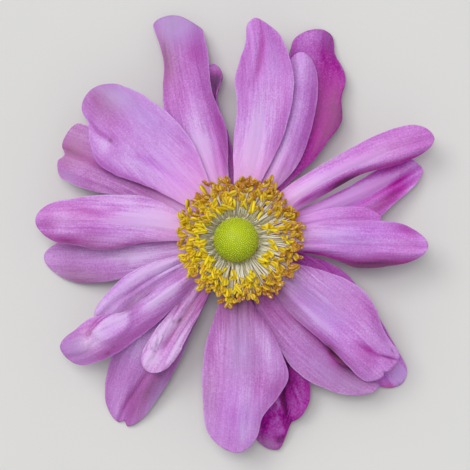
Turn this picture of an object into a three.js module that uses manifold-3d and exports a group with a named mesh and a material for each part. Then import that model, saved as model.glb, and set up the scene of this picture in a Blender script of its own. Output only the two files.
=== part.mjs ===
// Japanese anemone flower, picked with a short end of its stalk and lying face up.
// Units are millimetres and +Z is up. The flower rests on the drooping tips of its back tepals.
// The axis of the flower is vertical. Directions are in degrees, anticlockwise from +X seen from above.

import * as THREE from "three";
import { mergeVertices } from "three/addons/utils/BufferGeometryUtils.js";
import Module from "manifold-3d";

// Tepals: 22 blades in three layers
const TEPAL_THICKNESS = 0.6;
const TEPAL_BASE_RADIUS = 3.6;
const TEPAL_BASE_HALF_WIDTH = 0.8;
const TEPAL_ROWS = 10;
const TEPAL_COLUMNS = 8;
const RELIEF_GROWN_AT = 0.35;
const ROLL_FROM = 0.45;
const ROLL_TO = 1.1;
const TIP_BEND_FROM = 0.7;
const FOLD_FADE = 0.2;
const PAD_FLAT_TO = 0.65;
const PAD_EDGE = 1.1;
const DROOP_FROM = 0.5;
const DROOP_PASSES = 3;

// Heights of the layers: layer 0 is the top one
const TOP_LAYER_HEIGHT = 9.2;
const LAYER_STEP = 1;
const LAYER_SPREAD = 0.07;
const ARCH_RISE = 0.13;
const ARCH_FALL = 0.0055;

// Receptacle and the cut stalk
const STALK_RADIUS = 0.95;
const STALK_END_HEIGHT = 0.3;
const STALK_FLARE_HEIGHT = 3.8;
const STALK_TOP_RADIUS = 1.2;
const STALK_TOP_HEIGHT = 4.8;
const RECEPTACLE_FOOT_RADIUS = 2.6;
const RECEPTACLE_FOOT_HEIGHT = 6;
const RECEPTACLE_RADIUS = 3.3;
const RECEPTACLE_BOTTOM = 6.5;
const RECEPTACLE_TOP = 9.7;
const ROUND_SIDES = 20;

// Dome of carpels, seated on the receptacle
const SEAT_GAP = 0.3;
const HEAD_RADIUS = 3.7;
const HEAD_NECK_RADIUS = 2;
const HEAD_WAIST = 2.2;
const HEAD_CROWN = 2.7;
const HEAD_RINGS = 9;
const CARPEL_COUNT = 110;
const CARPELS_FROM = 0.96;
const CARPELS_TO = -0.39;
const CARPEL_RADIUS = 0.62;
const CARPEL_STANDS_OUT = 0.18;

// Stamens: a thin collar round the head carries the filaments, each with an anther on its end
const COLLAR_INNER_RADIUS = 3.05;
const COLLAR_OUTER_RADIUS = 4.5;
const COLLAR_HEIGHT = 0.5;
const FOOT_MARGIN = 0.25;
const STAMEN_COUNT = 100;
const STAMEN_SEED = 11;
const FILAMENT_RADIUS = 0.17;
const FILAMENT_SAG = 0.1;
const ANTHER_LENGTH = 1.5;
const ANTHER_GIRTH = 2.4;
const ANTHER_BELLY_FROM = 0.22;
const ANTHER_BELLY_TO = 0.78;
const ANTHER_OUTWARDS = 0.3;
const ANTHER_OUTWARDS_MORE = 1;
const ANTHER_SIDEWAYS = 1.6;
const ANTHER_UPWARDS = 0.6;
const INNER_REACH = 5.6;
const INNER_REACH_MORE = 1;
const INNER_REACH_TOWARDS = -15;
const OUTER_REACH = 9.7;
const OUTER_REACH_MORE = 0.8;
const OUTER_REACH_TOWARDS = 10;
const INNER_ANTHER_RISE = 3.1;
const OUTER_ANTHER_RISE = 1.5;
const ANGLE_JITTER = 0.2;
const REACH_JITTER = 0.5;
const RISE_JITTER = 0.5;

const GOLDEN_ANGLE = Math.PI * (3 - Math.sqrt(5));

// Each tepal is a blade along a bowed line from its base to its tip.
// base: direction of its foot. tip: place of its tip from the axis of the flower. bow: how far the line bows
// to the left at mid length. left, right: half widths at every fifth or every tenth of its length, seen from
// above and looking outwards. round: the share of its length that its rounded end takes up.
// cup: rise of both margins. rollLeft, rollRight: how far a margin turns down. tipBend: rise of the tip.
// ripple: wave of the margins. notch: a cut in its end. folds: ridges (high > 0) and grooves (high < 0) along
// it, at a share of the half width that may drift, with a width, and from one share of the length to another.
// pads: oval swellings, with a place and half length as shares of the length and the rest in millimetres.
const TEPALS = [
  {
    name: "tepal_top", layer: 0, shade: "pale",
    base: 86, tip: [3.2, 37.7], bow: -2.5, round: 0.12,
    left: [1.9, 2.9, 3.75, 4.2, 4.15, 4.3, 4.6, 3.6, 2.1, 2.4],
    right: [1.1, 1.8, 2.7, 3.75, 4.55, 5.1, 5.3, 4.85, 3.8, 1.7],
    cup: -0.4,
    folds: [
      { at: 1.6, drift: -1.95, wide: 0.17, high: -0.38, from: 0.6, to: 1.2 },
      { at: -0.12, wide: 0.16, high: -0.35, from: 0.05, to: 0.5 },
      { at: 0.45, wide: 0.25, high: 0.3, from: 0.2, to: 1.2 },
    ],
  },
  {
    name: "tepal_upper_left", layer: 0, shade: "pale",
    base: 134, tip: [-24.8, 25.3], bow: 0, round: 0.1,
    left: [1.3, 2, 3, 4.1, 5.6, 7.1, 7.5, 6.1, 3.9, 4.1],
    right: [2.3, 3.5, 4.9, 6.1, 6.8, 6.9, 6.4, 5.8, 4.5, 3.2],
    cup: -0.3,
    folds: [
      { at: -0.4, drift: 1.25, wide: 0.14, high: -0.55, from: 0.1, to: 0.5 },
      { at: -0.4, wide: 0.3, high: 0.35, from: 0.3, to: 0.9 },
    ],
    pads: [
      { along: 0.53, across: 5.4, length: 0.24, width: 2.9, high: 0.45 },
    ],
  },
  {
    name: "tepal_left", layer: 0, shade: "mid",
    base: 177, tip: [-34, 3.1], bow: -1.4, round: 0.14,
    left: [1.8, 3.2, 5, 4.2, 3],
    right: [2.8, 4.6, 4.4, 3.6, 2.8],
    cup: -0.1, rollLeft: 0.7,
    folds: [
      { at: 0.35, wide: 0.25, high: -0.25, from: 0.15, to: 1.2 },
      { at: -0.25, wide: 0.35, high: 0.35, from: 0.1, to: 1.2 },
      { at: -0.8, wide: 0.2, high: -0.25, from: 0.3, to: 0.8 },
    ],
  },
  {
    name: "tepal_lower_left_ridge", layer: 0, shade: "mid",
    base: 217, tip: [-29.8, -18.4], bow: 1.4, round: 0.1,
    left: [1.5, 2.8, 3.9, 4.6, 3.7],
    right: [1.2, 1.6, 1.7, 1.6, 1.2, 1, 2.1, 2.7, 1.85, 1.5],
    cup: -0.2, rollLeft: 1, rollRight: 0.4,
    folds: [
      { at: -0.05, wide: 0.35, high: 0.8, from: 0.05, to: 0.38 },
      { at: 0.5, wide: 0.15, high: -0.3, from: 0.7, to: 1.2 },
    ],
    pads: [
      { along: 0.69, across: -0.2, length: 0.115, width: 1.15, high: 0.7, drift: 4.2 },
      { along: 0.91, across: 0.6, length: 0.08, width: 1.6, high: 0.3 },
    ],
  },
  {
    name: "tepal_bottom", layer: 0, shade: "pale",
    base: 266, tip: [-0.2, -36.1], bow: 1.3, round: 0.12,
    left: [1.1, 1.8, 3.6, 5.5, 6.9, 7.75, 6.2, 3.9, 3.4, 2.9],
    right: [3.4, 5.9, 6.8, 6.1, 4.4],
    cup: -0.5,
    ripple: { high: 0.25, waves: 2.6, phase: 1.2 },
    folds: [
      { at: -0.08, wide: 0.1, high: -0.3, from: 0, to: 0.45 },
      { at: 0.35, wide: 0.2, high: -0.3, from: 0.35, to: 0.75 },
      { at: 0.65, wide: 0.2, high: 0.35, from: 0.3, to: 0.55 },
      { at: 0, wide: 0.3, high: 0.25, from: 0.5, to: 1.2 },
    ],
  },
  {
    name: "tepal_lower_right", layer: 0, shade: "pale",
    base: 326, tip: [26.6, -22], bow: 0.6, round: 0.07,
    left: [1.6, 2.4, 3.8, 5.1, 6.1, 6.4, 5.6, 4, 3.1, 3.1],
    right: [2, 3.1, 4.1, 4.6, 4.65, 4.65, 4.65, 4.75, 4.8, 4.2],
    cup: -0.3, rollLeft: 0.3, rollRight: 0.9, tipBend: -0.7,
    notch: { at: -0.3, wide: 0.09, deep: 0.022 },
    folds: [
      { at: -0.45, wide: 0.25, high: 0.45, from: 0.05, to: 0.6 },
      { at: 0.05, wide: 0.18, high: -0.3, from: 0.05, to: 0.5 },
      { at: -4.8, drift: 5.45, wide: 0.16, high: -0.55, from: 0.85, to: 1.2, fade: 0.05 },
      { at: -1.26, drift: 1.43, wide: 0.2, high: -0.45, from: 0.72, to: 0.86, fade: 0.08 },
    ],
  },
  {
    name: "tepal_right", layer: 0, shade: "pale",
    base: 358, tip: [32.6, -1], bow: 0.2, round: 0.16,
    left: [2.2, 3, 3.7, 3.7, 2.2],
    right: [1.6, 2.5, 4.2, 3.6, 2.4],
    cup: 0, rollRight: 1.2,
    folds: [
      { at: -0.1, wide: 0.12, high: -0.25, from: 0, to: 1.2 },
      { at: -0.4, wide: 0.25, high: 0.35, from: 0.1, to: 1.2 },
      { at: 0.4, wide: 0.3, high: 0.3, from: 0.1, to: 1.2 },
    ],
  },
  {
    name: "tepal_upper_right_strap", layer: 0, shade: "mid",
    base: 32, tip: [33.7, 17.3], bow: 2.2, round: 0.12,
    left: [2.1, 2.3, 2.7, 3.3, 2.9],
    right: [1.9, 2.2, 2, 2.6, 1.8],
    cup: -0.2, rollLeft: 0.4, rollRight: 1.2,
    folds: [
      { at: 0.1, wide: 0.35, high: 0.4, from: 0, to: 0.6 },
      { at: 0, wide: 0.25, high: -0.35, from: 0.65, to: 1.2 },
    ],
  },
  {
    name: "tepal_top_left_strap", layer: 1, shade: "pale",
    base: 108, tip: [-10.6, 38.6], bow: 1.5, round: 0.05,
    left: [2.5, 4.1, 4.3, 2.8, 4.1],
    right: [2.8, 4.9, 4.3, 4.8, 4.4],
    cup: -0.2, rollLeft: 0.3, rollRight: 0.9, tipBend: -0.8,
    notch: { at: -1, wide: 0.6, deep: 0.05 },
    folds: [
      { at: -0.05, wide: 0.35, high: 0.4, from: 0, to: 0.5 },
      { at: -0.45, wide: 0.15, high: -0.3, from: 0.05, to: 0.45 },
      { at: 0.1, wide: 0.3, high: -0.35, from: 0.55, to: 0.9 },
    ],
  },
  {
    name: "tepal_top_narrow", layer: 1, shade: "pale",
    base: 72, tip: [11.1, 32], bow: -2.6, round: 0.12,
    left: [1.7, 2.8, 3, 2.9, 2.2],
    right: [1.5, 3.2, 3.4, 3.2, 2.3],
    cup: -0.6, rollRight: 0.3,
    folds: [
      { at: -0.1, wide: 0.35, high: 0.35, from: 0, to: 1.2 },
      { at: 0.5, wide: 0.16, high: -0.3, from: 0.1, to: 0.6 },
    ],
  },
  {
    name: "tepal_upper_left_under", layer: 1, shade: "mid",
    base: 155, tip: [-30.1, 15.2], bow: -1.4, round: 0.07,
    left: [1.6, 2.4, 3.7, 4.8, 4.1],
    right: [1.5, 2.6, 3.8, 5.3, 5.6],
    cup: 0.1,
    notch: { at: 0.1, wide: 0.2, deep: 0.035 },
    folds: [
      { at: 0.55, drift: -0.65, wide: 0.14, high: -0.7, from: 0.55, to: 1.2 },
      { at: 0.2, wide: 0.1, high: 0.3, from: 0.6, to: 1.2 },
      { at: 0.55, wide: 0.25, high: 0.4, from: 0.4, to: 1.2 },
      { at: -0.6, wide: 0.25, high: 0.3, from: 0.6, to: 1.2 },
    ],
  },
  {
    name: "tepal_lower_left_folded", layer: 1, shade: "mid",
    base: 207, tip: [-23.8, -13.9], bow: -1.7, round: 0.1,
    left: [1, 1.8, 2.2, 2.9, 3.2],
    right: [1, 1.9, 2.6, 2.3, 1.4],
    cup: 0.2,
    folds: [
      { at: 0.7, wide: 0.3, high: -0.6, from: 0.15, to: 0.9 },
      { at: 0.1, wide: 0.14, high: -0.4, from: 0.1, to: 0.6 },
      { at: -0.5, wide: 0.3, high: 0.5, from: 0.15, to: 0.9 },
    ],
  },
  {
    name: "tepal_bottom_left_flap", layer: 1, shade: "pale",
    base: 236, tip: [-15, -22.3], bow: -0.2, round: 0.12,
    left: [1.1, 1.9, 2.4, 2.8, 2.2],
    right: [1.3, 1.8, 2.4, 2.7, 2.3],
    cup: 0.3, tipBend: 0.4,
    ripple: { high: 0.25, waves: 3, phase: 0.4 },
    folds: [
      { at: 0.05, wide: 0.2, high: -0.5, from: 0.1, to: 0.9 },
      { at: -0.45, wide: 0.15, high: 0.4, from: 0.35, to: 1.2 },
      { at: 0.7, wide: 0.2, high: 0.35, from: 0.2, to: 0.8 },
    ],
    pads: [
      { along: 0.88, across: -1, length: 0.06, width: 0.8, high: 0.35 },
      { along: 0.62, across: 2.2, length: 0.28, width: 0.8, high: 0.4 },
      { along: 0.66, across: -2, length: 0.2, width: 0.75, high: 0.35 },
    ],
  },
  {
    name: "tepal_lower_right_under", layer: 1, shade: "mid",
    base: 310, tip: [24.3, -25.2], bow: -2.8, round: 0.16,
    left: [2.9, 4.2, 4.3, 3.5, 2],
    right: [3, 3.9, 5.4, 4.4, 2.4],
    cup: 0.1,
    folds: [
      { at: 0.35, wide: 0.25, high: -0.5, from: 0.3, to: 1 },
      { at: -0.5, wide: 0.3, high: 0.35, from: 0.2, to: 1.2 },
    ],
  },
  {
    name: "tepal_right_small", layer: 1, shade: "mid",
    base: 10, tip: [24.7, 3.6], bow: 0.5, round: 0.14,
    left: [1.3, 1.9, 2.5, 2.3, 1.4],
    right: [1.2, 1.9, 2.4, 2.1, 1.4],
    cup: -0.1,
    folds: [
      { at: 0.2, wide: 0.15, high: -0.25, from: 0.1, to: 0.7 },
    ],
  },
  {
    name: "tepal_top_left_curled", layer: 2, shade: "deep",
    base: 97, tip: [-3.9, 30.1], bow: 0.6, round: 0.1,
    left: [0.8, 0.9, 1.1, 1.4, 1.8, 2.1, 2.4, 2.6, 2.4, 2.2],
    right: [1, 1.3, 1.7, 2, 1.7, 1.2, 0.5, 0.3, 1.4, 1.5],
    cup: 0.5, tipBend: 0.5,
    folds: [
      { at: -0.2, wide: 0.4, high: -0.5, from: 0.5, to: 0.85 },
    ],
  },
  {
    name: "tepal_top_back", layer: 2, shade: "deep", rests: true,
    base: 62, tip: [14.3, 36.2], bow: -3.2, round: 0.08,
    left: [2.6, 3.9, 4.7, 5, 4.3],
    right: [1, 1.6, 2.6, 3.95, 5, 6, 5.05, 5.1, 2.8, 3],
    cup: 0.1,
    ripple: { high: 0.35, waves: 3.4, phase: 2.2 },
    folds: [
      { at: -0.35, wide: 0.2, high: -0.4, from: 0.4, to: 1.2 },
      { at: 0.2, wide: 0.25, high: 0.3, from: 0.6, to: 1.2 },
    ],
  },
  {
    name: "tepal_left_under", layer: 2, shade: "mid", rests: true,
    base: 190, tip: [-33, -2.9], bow: 0.7, round: 0.16,
    left: [1.2, 2.5, 4.2, 4.3, 2.8],
    right: [1.8, 3, 3.6, 3.4, 2.4],
    cup: 0.2,
    folds: [
      { at: 0.3, wide: 0.3, high: 0.3, from: 0.3, to: 1.2 },
    ],
  },
  {
    name: "tepal_bottom_left_notched", layer: 2, shade: "pale", rests: true,
    base: 240, tip: [-19, -32], bow: -2.5, round: 0.13,
    left: [2.6, 3.9, 4.6, 3.9, 2.4],
    right: [1.6, 3.5, 5.8, 5.6, 3.7],
    cup: 0,
    notch: { at: -0.12, wide: 0.14, deep: 0.025 },
    folds: [
      { at: 1.5, drift: -1.9, wide: 0.1, high: -0.5, from: 0.55, to: 1.2 },
      { at: -0.4, wide: 0.35, high: 0.5, from: 0.3, to: 1.2 },
      { at: 0.4, wide: 0.3, high: 0.3, from: 0.5, to: 1.2 },
    ],
  },
  {
    name: "tepal_bottom_wrinkled", layer: 2, shade: "deep",
    base: 284, tip: [6.1, -35.9], bow: 2.7, round: 0.09,
    left: [1, 1.7, 2.6, 3.8, 5, 5.7, 6, 6, 5.3, 4],
    right: [2.5, 4, 4.3, 3.9, 3.3],
    cup: 0.1,
    ripple: { high: 0.4, waves: 4.2, phase: 0.9 },
    notch: { at: 0.78, wide: 0.37, deep: 0.13 },
    folds: [
      { at: 0.16, wide: 0.1, high: -0.5, from: 0.45, to: 1.2 },
      { at: 1.2, drift: -1.1, wide: 0.08, high: -0.35, from: 0.55, to: 0.8 },
    ],
    pads: [
      { along: 0.7, across: 4.3, length: 0.12, width: 2.6, high: 0.85 },
      { along: 0.9, across: -1.1, length: 0.1, width: 1.4, high: 0.6 },
      { along: 0.84, across: 2.3, length: 0.035, width: 1.1, high: 0.5 },
      { along: 0.78, across: -0.2, length: 0.05, width: 0.6, high: 0.45 },
    ],
  },
  {
    name: "tepal_lower_right_back", layer: 2, shade: "deep", rests: true,
    base: 332, tip: [28.2, -24.9], bow: 2.7, round: 0.09,
    left: [3.3, 5, 4, 2.9, 2.6],
    right: [2.7, 3.9, 4.2, 3.9, 3.6],
    cup: 0.3,
    folds: [
      { at: -0.1, wide: 0.3, high: 0.35, from: 0.7, to: 1.2 },
    ],
  },
  {
    name: "tepal_right_flared", layer: 2, shade: "mid",
    base: 20, tip: [32, 12.2], bow: -1.4, round: 0.1,
    left: [1.8, 2.5, 3.1, 3.7, 3.4],
    right: [1, 1.9, 4, 3, 1.4],
    cup: 0.1,
    folds: [
      { at: -0.38, drift: 0.6, wide: 0.16, high: -0.6, from: 0.35, to: 1.2 },
      { at: 0.5, wide: 0.3, high: 0.35, from: 0.2, to: 1.2 },
    ],
  },
];

const TEPAL_COLOURS = { pale: "#c98fdc", mid: "#bb6fc8", deep: "#93308f" };

const wasm = await Module();
wasm.setup();

function smoothStep(from, to, x) {
  const share = Math.min(1, Math.max(0, (x - from) / (to - from)));
  return share * share * (3 - 2 * share);
}

// A smooth curve through values that are evenly spaced from 0 to 1
function through(values, share) {
  const last = values.length - 1;
  const place = Math.min(Math.max(share, 0), 1) * last;
  const i = Math.min(Math.floor(place), last - 1);
  const u = place - i;
  const before = i > 0 ? values[i - 1] : 2 * values[0] - values[1];
  const after = i + 2 <= last ? values[i + 2] : 2 * values[last] - values[last - 1];
  const slopeIn = (values[i + 1] - before) / 2;
  const slopeOut = (after - values[i]) / 2;
  const rise = values[i + 1] - values[i];
  return values[i] + u * slopeIn + u * u * (3 * rise - 2 * slopeIn - slopeOut)
    + u * u * u * (slopeIn + slopeOut - 2 * rise);
}

// Middle height of a layer at a distance from the axis of the flower
function layerHeight(layer, radius) {
  const out = radius - TEPAL_BASE_RADIUS;
  const drop = layer * (LAYER_STEP + LAYER_SPREAD * out);
  return TOP_LAYER_HEIGHT - drop + ARCH_RISE * out - ARCH_FALL * out * out;
}

function bell(x, width) {
  return Math.exp(-(x * x) / (width * width));
}

// How far along its length a tepal reaches at a share v of its half width
function reachAt(tepal, v) {
  const ellipse = 1 - tepal.round * (1 - Math.sqrt(Math.max(0, 1 - v * v)));
  const notch = tepal.notch;
  return notch ? ellipse - notch.deep * bell(v - notch.at, notch.wide) : ellipse;
}

// Rise of a tepal's surface at a place: v is a share of the half width, and across the same in millimetres
function reliefAt(tepal, t, v, across) {
  const grown = smoothStep(0, RELIEF_GROWN_AT, t);
  const { cup = 0, rollLeft = 0, rollRight = 0, tipBend = 0, ripple, folds = [], pads = [] } = tepal;
  let z = cup * v * v * grown;
  z -= (v > 0 ? rollLeft : rollRight) * smoothStep(ROLL_FROM, ROLL_TO, Math.abs(v)) * grown;
  z += tipBend * smoothStep(TIP_BEND_FROM, 1, t);
  if (ripple) {
    z += ripple.high * v * v * grown * Math.sin(ripple.waves * Math.PI * t + ripple.phase + v);
  }
  for (const { at, drift = 0, wide, high, from, to, fade = FOLD_FADE } of folds) {
    const along = smoothStep(from, from + fade, t) * (1 - smoothStep(to, to + fade, t));
    z += high * bell(v - at - drift * t, wide) * along;
  }
  for (const pad of pads) {
    const out = t - pad.along;
    const beside = across - pad.across - (pad.drift ?? 0) * out;
    const far = Math.hypot(out / pad.length, beside / pad.width);
    z += pad.high * (1 - smoothStep(PAD_FLAT_TO, PAD_EDGE, far));
  }
  return z;
}

// Middle surface of a tepal: s runs from its foot to its end, q from its right margin (-1) to its left (1)
function tepalPoint(tepal, s, q) {
  const v = Math.sin((q * Math.PI) / 2);
  const t = s * reachAt(tepal, v);
  const angle = THREE.MathUtils.degToRad(tepal.base);
  const foot = new THREE.Vector2(Math.cos(angle), Math.sin(angle)).multiplyScalar(TEPAL_BASE_RADIUS);
  const tip = new THREE.Vector2(...tepal.tip);
  const chord = tip.clone().sub(foot);
  const chordLeft = new THREE.Vector2(-chord.y, chord.x).normalize();
  const bend = foot.clone().add(tip).multiplyScalar(0.5).addScaledVector(chordLeft, 2 * tepal.bow);
  const line = new THREE.QuadraticBezierCurve(foot, bend, tip);
  const centre = line.getPoint(t);
  const left = line.getTangent(t).rotateAround(new THREE.Vector2(), Math.PI / 2);
  const widths = [TEPAL_BASE_HALF_WIDTH, ...(v > 0 ? tepal.left : tepal.right)];
  const across = v * through(widths, t);
  centre.addScaledVector(left, across);
  const z = layerHeight(tepal.layer, centre.length()) + reliefAt(tepal, t, v, across);
  return new THREE.Vector3(centre.x, centre.y, z);
}

// Grid of points of a tepal's middle surface. The tip of one that rests droops until it meets the ground.
function tepalGrid(tepal) {
  const grid = [];
  for (let row = 0; row <= TEPAL_ROWS; row++) {
    for (let column = 0; column <= TEPAL_COLUMNS; column++) {
      grid.push(tepalPoint(tepal, row / TEPAL_ROWS, (2 * column) / TEPAL_COLUMNS - 1));
    }
  }
  for (let pass = 0; tepal.rests && pass < DROOP_PASSES; pass++) {
    const clearance = Math.min(...grid.map((point) => point.z)) - TEPAL_THICKNESS / 2;
    grid.forEach((point, i) => {
      const s = Math.floor(i / (TEPAL_COLUMNS + 1)) / TEPAL_ROWS;
      point.z -= clearance * smoothStep(DROOP_FROM, 1, s);
    });
  }
  return grid;
}

// Closes a grid of middle points into a blade: the same triangles on both faces, and a rim round them
function bladeGeometry(grid, rows, columns, thickness) {
  const sheet = new THREE.BufferGeometry().setFromPoints(grid);
  const faces = [];
  const at = (row, column) => row * (columns + 1) + column;
  for (let row = 0; row < rows; row++) {
    for (let column = 0; column < columns; column++) {
      const corners = [at(row, column), at(row, column + 1), at(row + 1, column + 1), at(row + 1, column)];
      const [a, b, c, d] = corners;
      faces.push(...((row + column) % 2 ? [a, c, b, a, d, c] : [a, d, b, b, d, c]));
    }
  }
  sheet.setIndex(faces);
  sheet.computeVertexNormals();
  const normals = sheet.getAttribute("normal");
  const up = new THREE.Vector3().fromBufferAttribute(normals, at(rows >> 1, columns >> 1)).z > 0;
  const points = [];
  for (const side of [1, -1]) {
    grid.forEach((point, i) => {
      const normal = new THREE.Vector3().fromBufferAttribute(normals, i);
      points.push(point.clone().addScaledVector(normal, (side * thickness) / 2));
    });
  }
  const count = grid.length;
  const index = [...faces];
  for (let i = 0; i < faces.length; i += 3) {
    index.push(faces[i] + count, faces[i + 2] + count, faces[i + 1] + count);
  }
  const rim = [];
  for (let column = 0; column < columns; column++) rim.push([at(0, column), at(0, column + 1)]);
  for (let row = 0; row < rows; row++) rim.push([at(row, columns), at(row + 1, columns)]);
  for (let column = columns; column > 0; column--) rim.push([at(rows, column), at(rows, column - 1)]);
  for (let row = rows; row > 0; row--) rim.push([at(row, 0), at(row - 1, 0)]);
  for (const [a, b] of rim) {
    index.push(a, b, b + count, a, b + count, a + count);
  }
  if (!up) index.reverse();
  return new THREE.BufferGeometry().setFromPoints(points).setIndex(index);
}

function material(colour, roughness) {
  return new THREE.MeshStandardMaterial({ color: colour, roughness, metalness: 0 });
}

function makeTepal(tepal) {
  const geometry = bladeGeometry(tepalGrid(tepal), TEPAL_ROWS, TEPAL_COLUMNS, TEPAL_THICKNESS);
  const mesh = new THREE.Mesh(geometry, material(TEPAL_COLOURS[tepal.shade], 0.55));
  mesh.name = tepal.name;
  return mesh;
}

// A geometry as a solid that can be joined to others
function solidOf(geometry) {
  const bare = geometry.clone();
  bare.deleteAttribute("normal");
  bare.deleteAttribute("uv");
  const merged = mergeVertices(bare, 1e-4);
  return new wasm.Manifold(new wasm.Mesh({
    numProp: 3,
    vertProperties: merged.getAttribute("position").array,
    triVerts: new Uint32Array(merged.index.array),
  }));
}

function joined(geometries) {
  const solid = geometries.map(solidOf).reduce((sum, next) => sum.add(next));
  const { vertProperties, triVerts } = solid.getMesh();
  return new THREE.BufferGeometry()
    .setAttribute("position", new THREE.BufferAttribute(vertProperties, 3))
    .setIndex(new THREE.BufferAttribute(triVerts, 1));
}

// A turned solid from (radius, height) points, listed upwards along its outside, with +Z up
function turned(profile, sides) {
  const points = profile.map(([radius, height]) => new THREE.Vector2(radius, height));
  return new THREE.LatheGeometry(points, sides).rotateX(Math.PI / 2);
}

function makeStalk() {
  const profile = [
    [0, STALK_END_HEIGHT],
    [STALK_RADIUS, STALK_END_HEIGHT],
    [STALK_RADIUS, STALK_FLARE_HEIGHT],
    [STALK_TOP_RADIUS, STALK_TOP_HEIGHT],
    [RECEPTACLE_FOOT_RADIUS, RECEPTACLE_FOOT_HEIGHT],
    [RECEPTACLE_RADIUS, RECEPTACLE_BOTTOM],
    [RECEPTACLE_RADIUS, RECEPTACLE_TOP],
    [0, RECEPTACLE_TOP],
  ];
  const mesh = new THREE.Mesh(turned(profile, ROUND_SIDES), material("#7d9a4a", 0.6));
  mesh.name = "stalk";
  return mesh;
}

// Radius of the dome at a height above its widest line
function domeRadius(height) {
  const reach = height > 0 ? HEAD_CROWN : HEAD_WAIST / Math.sqrt(1 - (HEAD_NECK_RADIUS / HEAD_RADIUS) ** 2);
  return HEAD_RADIUS * Math.sqrt(Math.max(0, 1 - (height / reach) ** 2));
}

function makeCarpel(place, outwards) {
  const carpel = new THREE.OctahedronGeometry(1, 0);
  carpel.scale(CARPEL_RADIUS, CARPEL_RADIUS, 2 * CARPEL_STANDS_OUT);
  const turn = new THREE.Quaternion().setFromUnitVectors(new THREE.Vector3(0, 0, 1), outwards);
  carpel.applyQuaternion(turn);
  const sunk = place.clone().addScaledVector(outwards, -CARPEL_STANDS_OUT);
  return carpel.translate(sunk.x, sunk.y, sunk.z);
}

function makePistilHead() {
  const profile = [[0, -HEAD_WAIST]];
  for (let i = 0; i <= HEAD_RINGS; i++) {
    const height = -HEAD_WAIST + (HEAD_WAIST + HEAD_CROWN) * Math.sin((i / HEAD_RINGS) * (Math.PI / 2));
    profile.push([i < HEAD_RINGS ? domeRadius(height) : 0, height]);
  }
  const pieces = [turned(profile, ROUND_SIDES)];
  for (let i = 0; i < CARPEL_COUNT; i++) {
    const rise = CARPELS_FROM + ((CARPELS_TO - CARPELS_FROM) * (i + 0.5)) / CARPEL_COUNT;
    const height = rise > 0 ? rise * HEAD_CROWN : rise * HEAD_WAIST;
    const angle = i * GOLDEN_ANGLE;
    const radius = domeRadius(height);
    const place = new THREE.Vector3(radius * Math.cos(angle), radius * Math.sin(angle), height);
    const depth = rise > 0 ? HEAD_CROWN : HEAD_WAIST;
    const outwards = new THREE.Vector3(place.x, place.y, (height * HEAD_RADIUS ** 2) / depth ** 2);
    pieces.push(makeCarpel(place, outwards.normalize()));
  }
  const mesh = new THREE.Mesh(joined(pieces), material("#a8b820", 0.5));
  mesh.name = "pistil_head";
  mesh.position.z = RECEPTACLE_TOP + SEAT_GAP + HEAD_WAIST;
  return mesh;
}

// Random numbers that come out the same every time
function seededRandom(seed) {
  let state = seed;
  return () => {
    state = (state * 16807) % 2147483647;
    return state / 2147483647;
  };
}

function anglewise(mean, more, towards, angle) {
  return mean + more * Math.cos(angle - THREE.MathUtils.degToRad(towards));
}

// One stamen as a three-sided spindle: thin from its foot to its neck, then swelling into the anther
function makeStamen(foot, bend, neck, along) {
  const belly = (share) => neck.clone().addScaledVector(along, share * ANTHER_LENGTH);
  const path = [foot, bend, neck, belly(ANTHER_BELLY_FROM), belly(ANTHER_BELLY_TO), belly(1)];
  const radii = [1, 1, 1, ANTHER_GIRTH, ANTHER_GIRTH, 1].map((times) => times * FILAMENT_RADIUS);
  const turns = [0, 0, 0, 0, 1, 1];
  const points = [];
  path.forEach((place, i) => {
    const ahead = path[Math.min(i + 1, path.length - 1)].clone().sub(path[Math.max(i - 1, 0)]).normalize();
    const side = new THREE.Vector3(0, 0, 1).cross(ahead).normalize();
    const over = ahead.clone().cross(side);
    for (let corner = 0; corner < 3; corner++) {
      const angle = ((2 * corner + turns[i]) * Math.PI) / 3;
      const point = place.clone().addScaledVector(side, radii[i] * Math.cos(angle));
      points.push(point.addScaledVector(over, radii[i] * Math.sin(angle)));
    }
  });
  const index = [0, 2, 1];
  for (let ring = 0; ring < path.length - 1; ring++) {
    for (let corner = 0; corner < 3; corner++) {
      const a = 3 * ring + corner;
      const b = 3 * ring + ((corner + 1) % 3);
      index.push(a, b, a + 3, b, b + 3, a + 3);
    }
  }
  const last = 3 * (path.length - 1);
  index.push(last, last + 1, last + 2);
  return new THREE.BufferGeometry().setFromPoints(points).setIndex(index);
}

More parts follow.
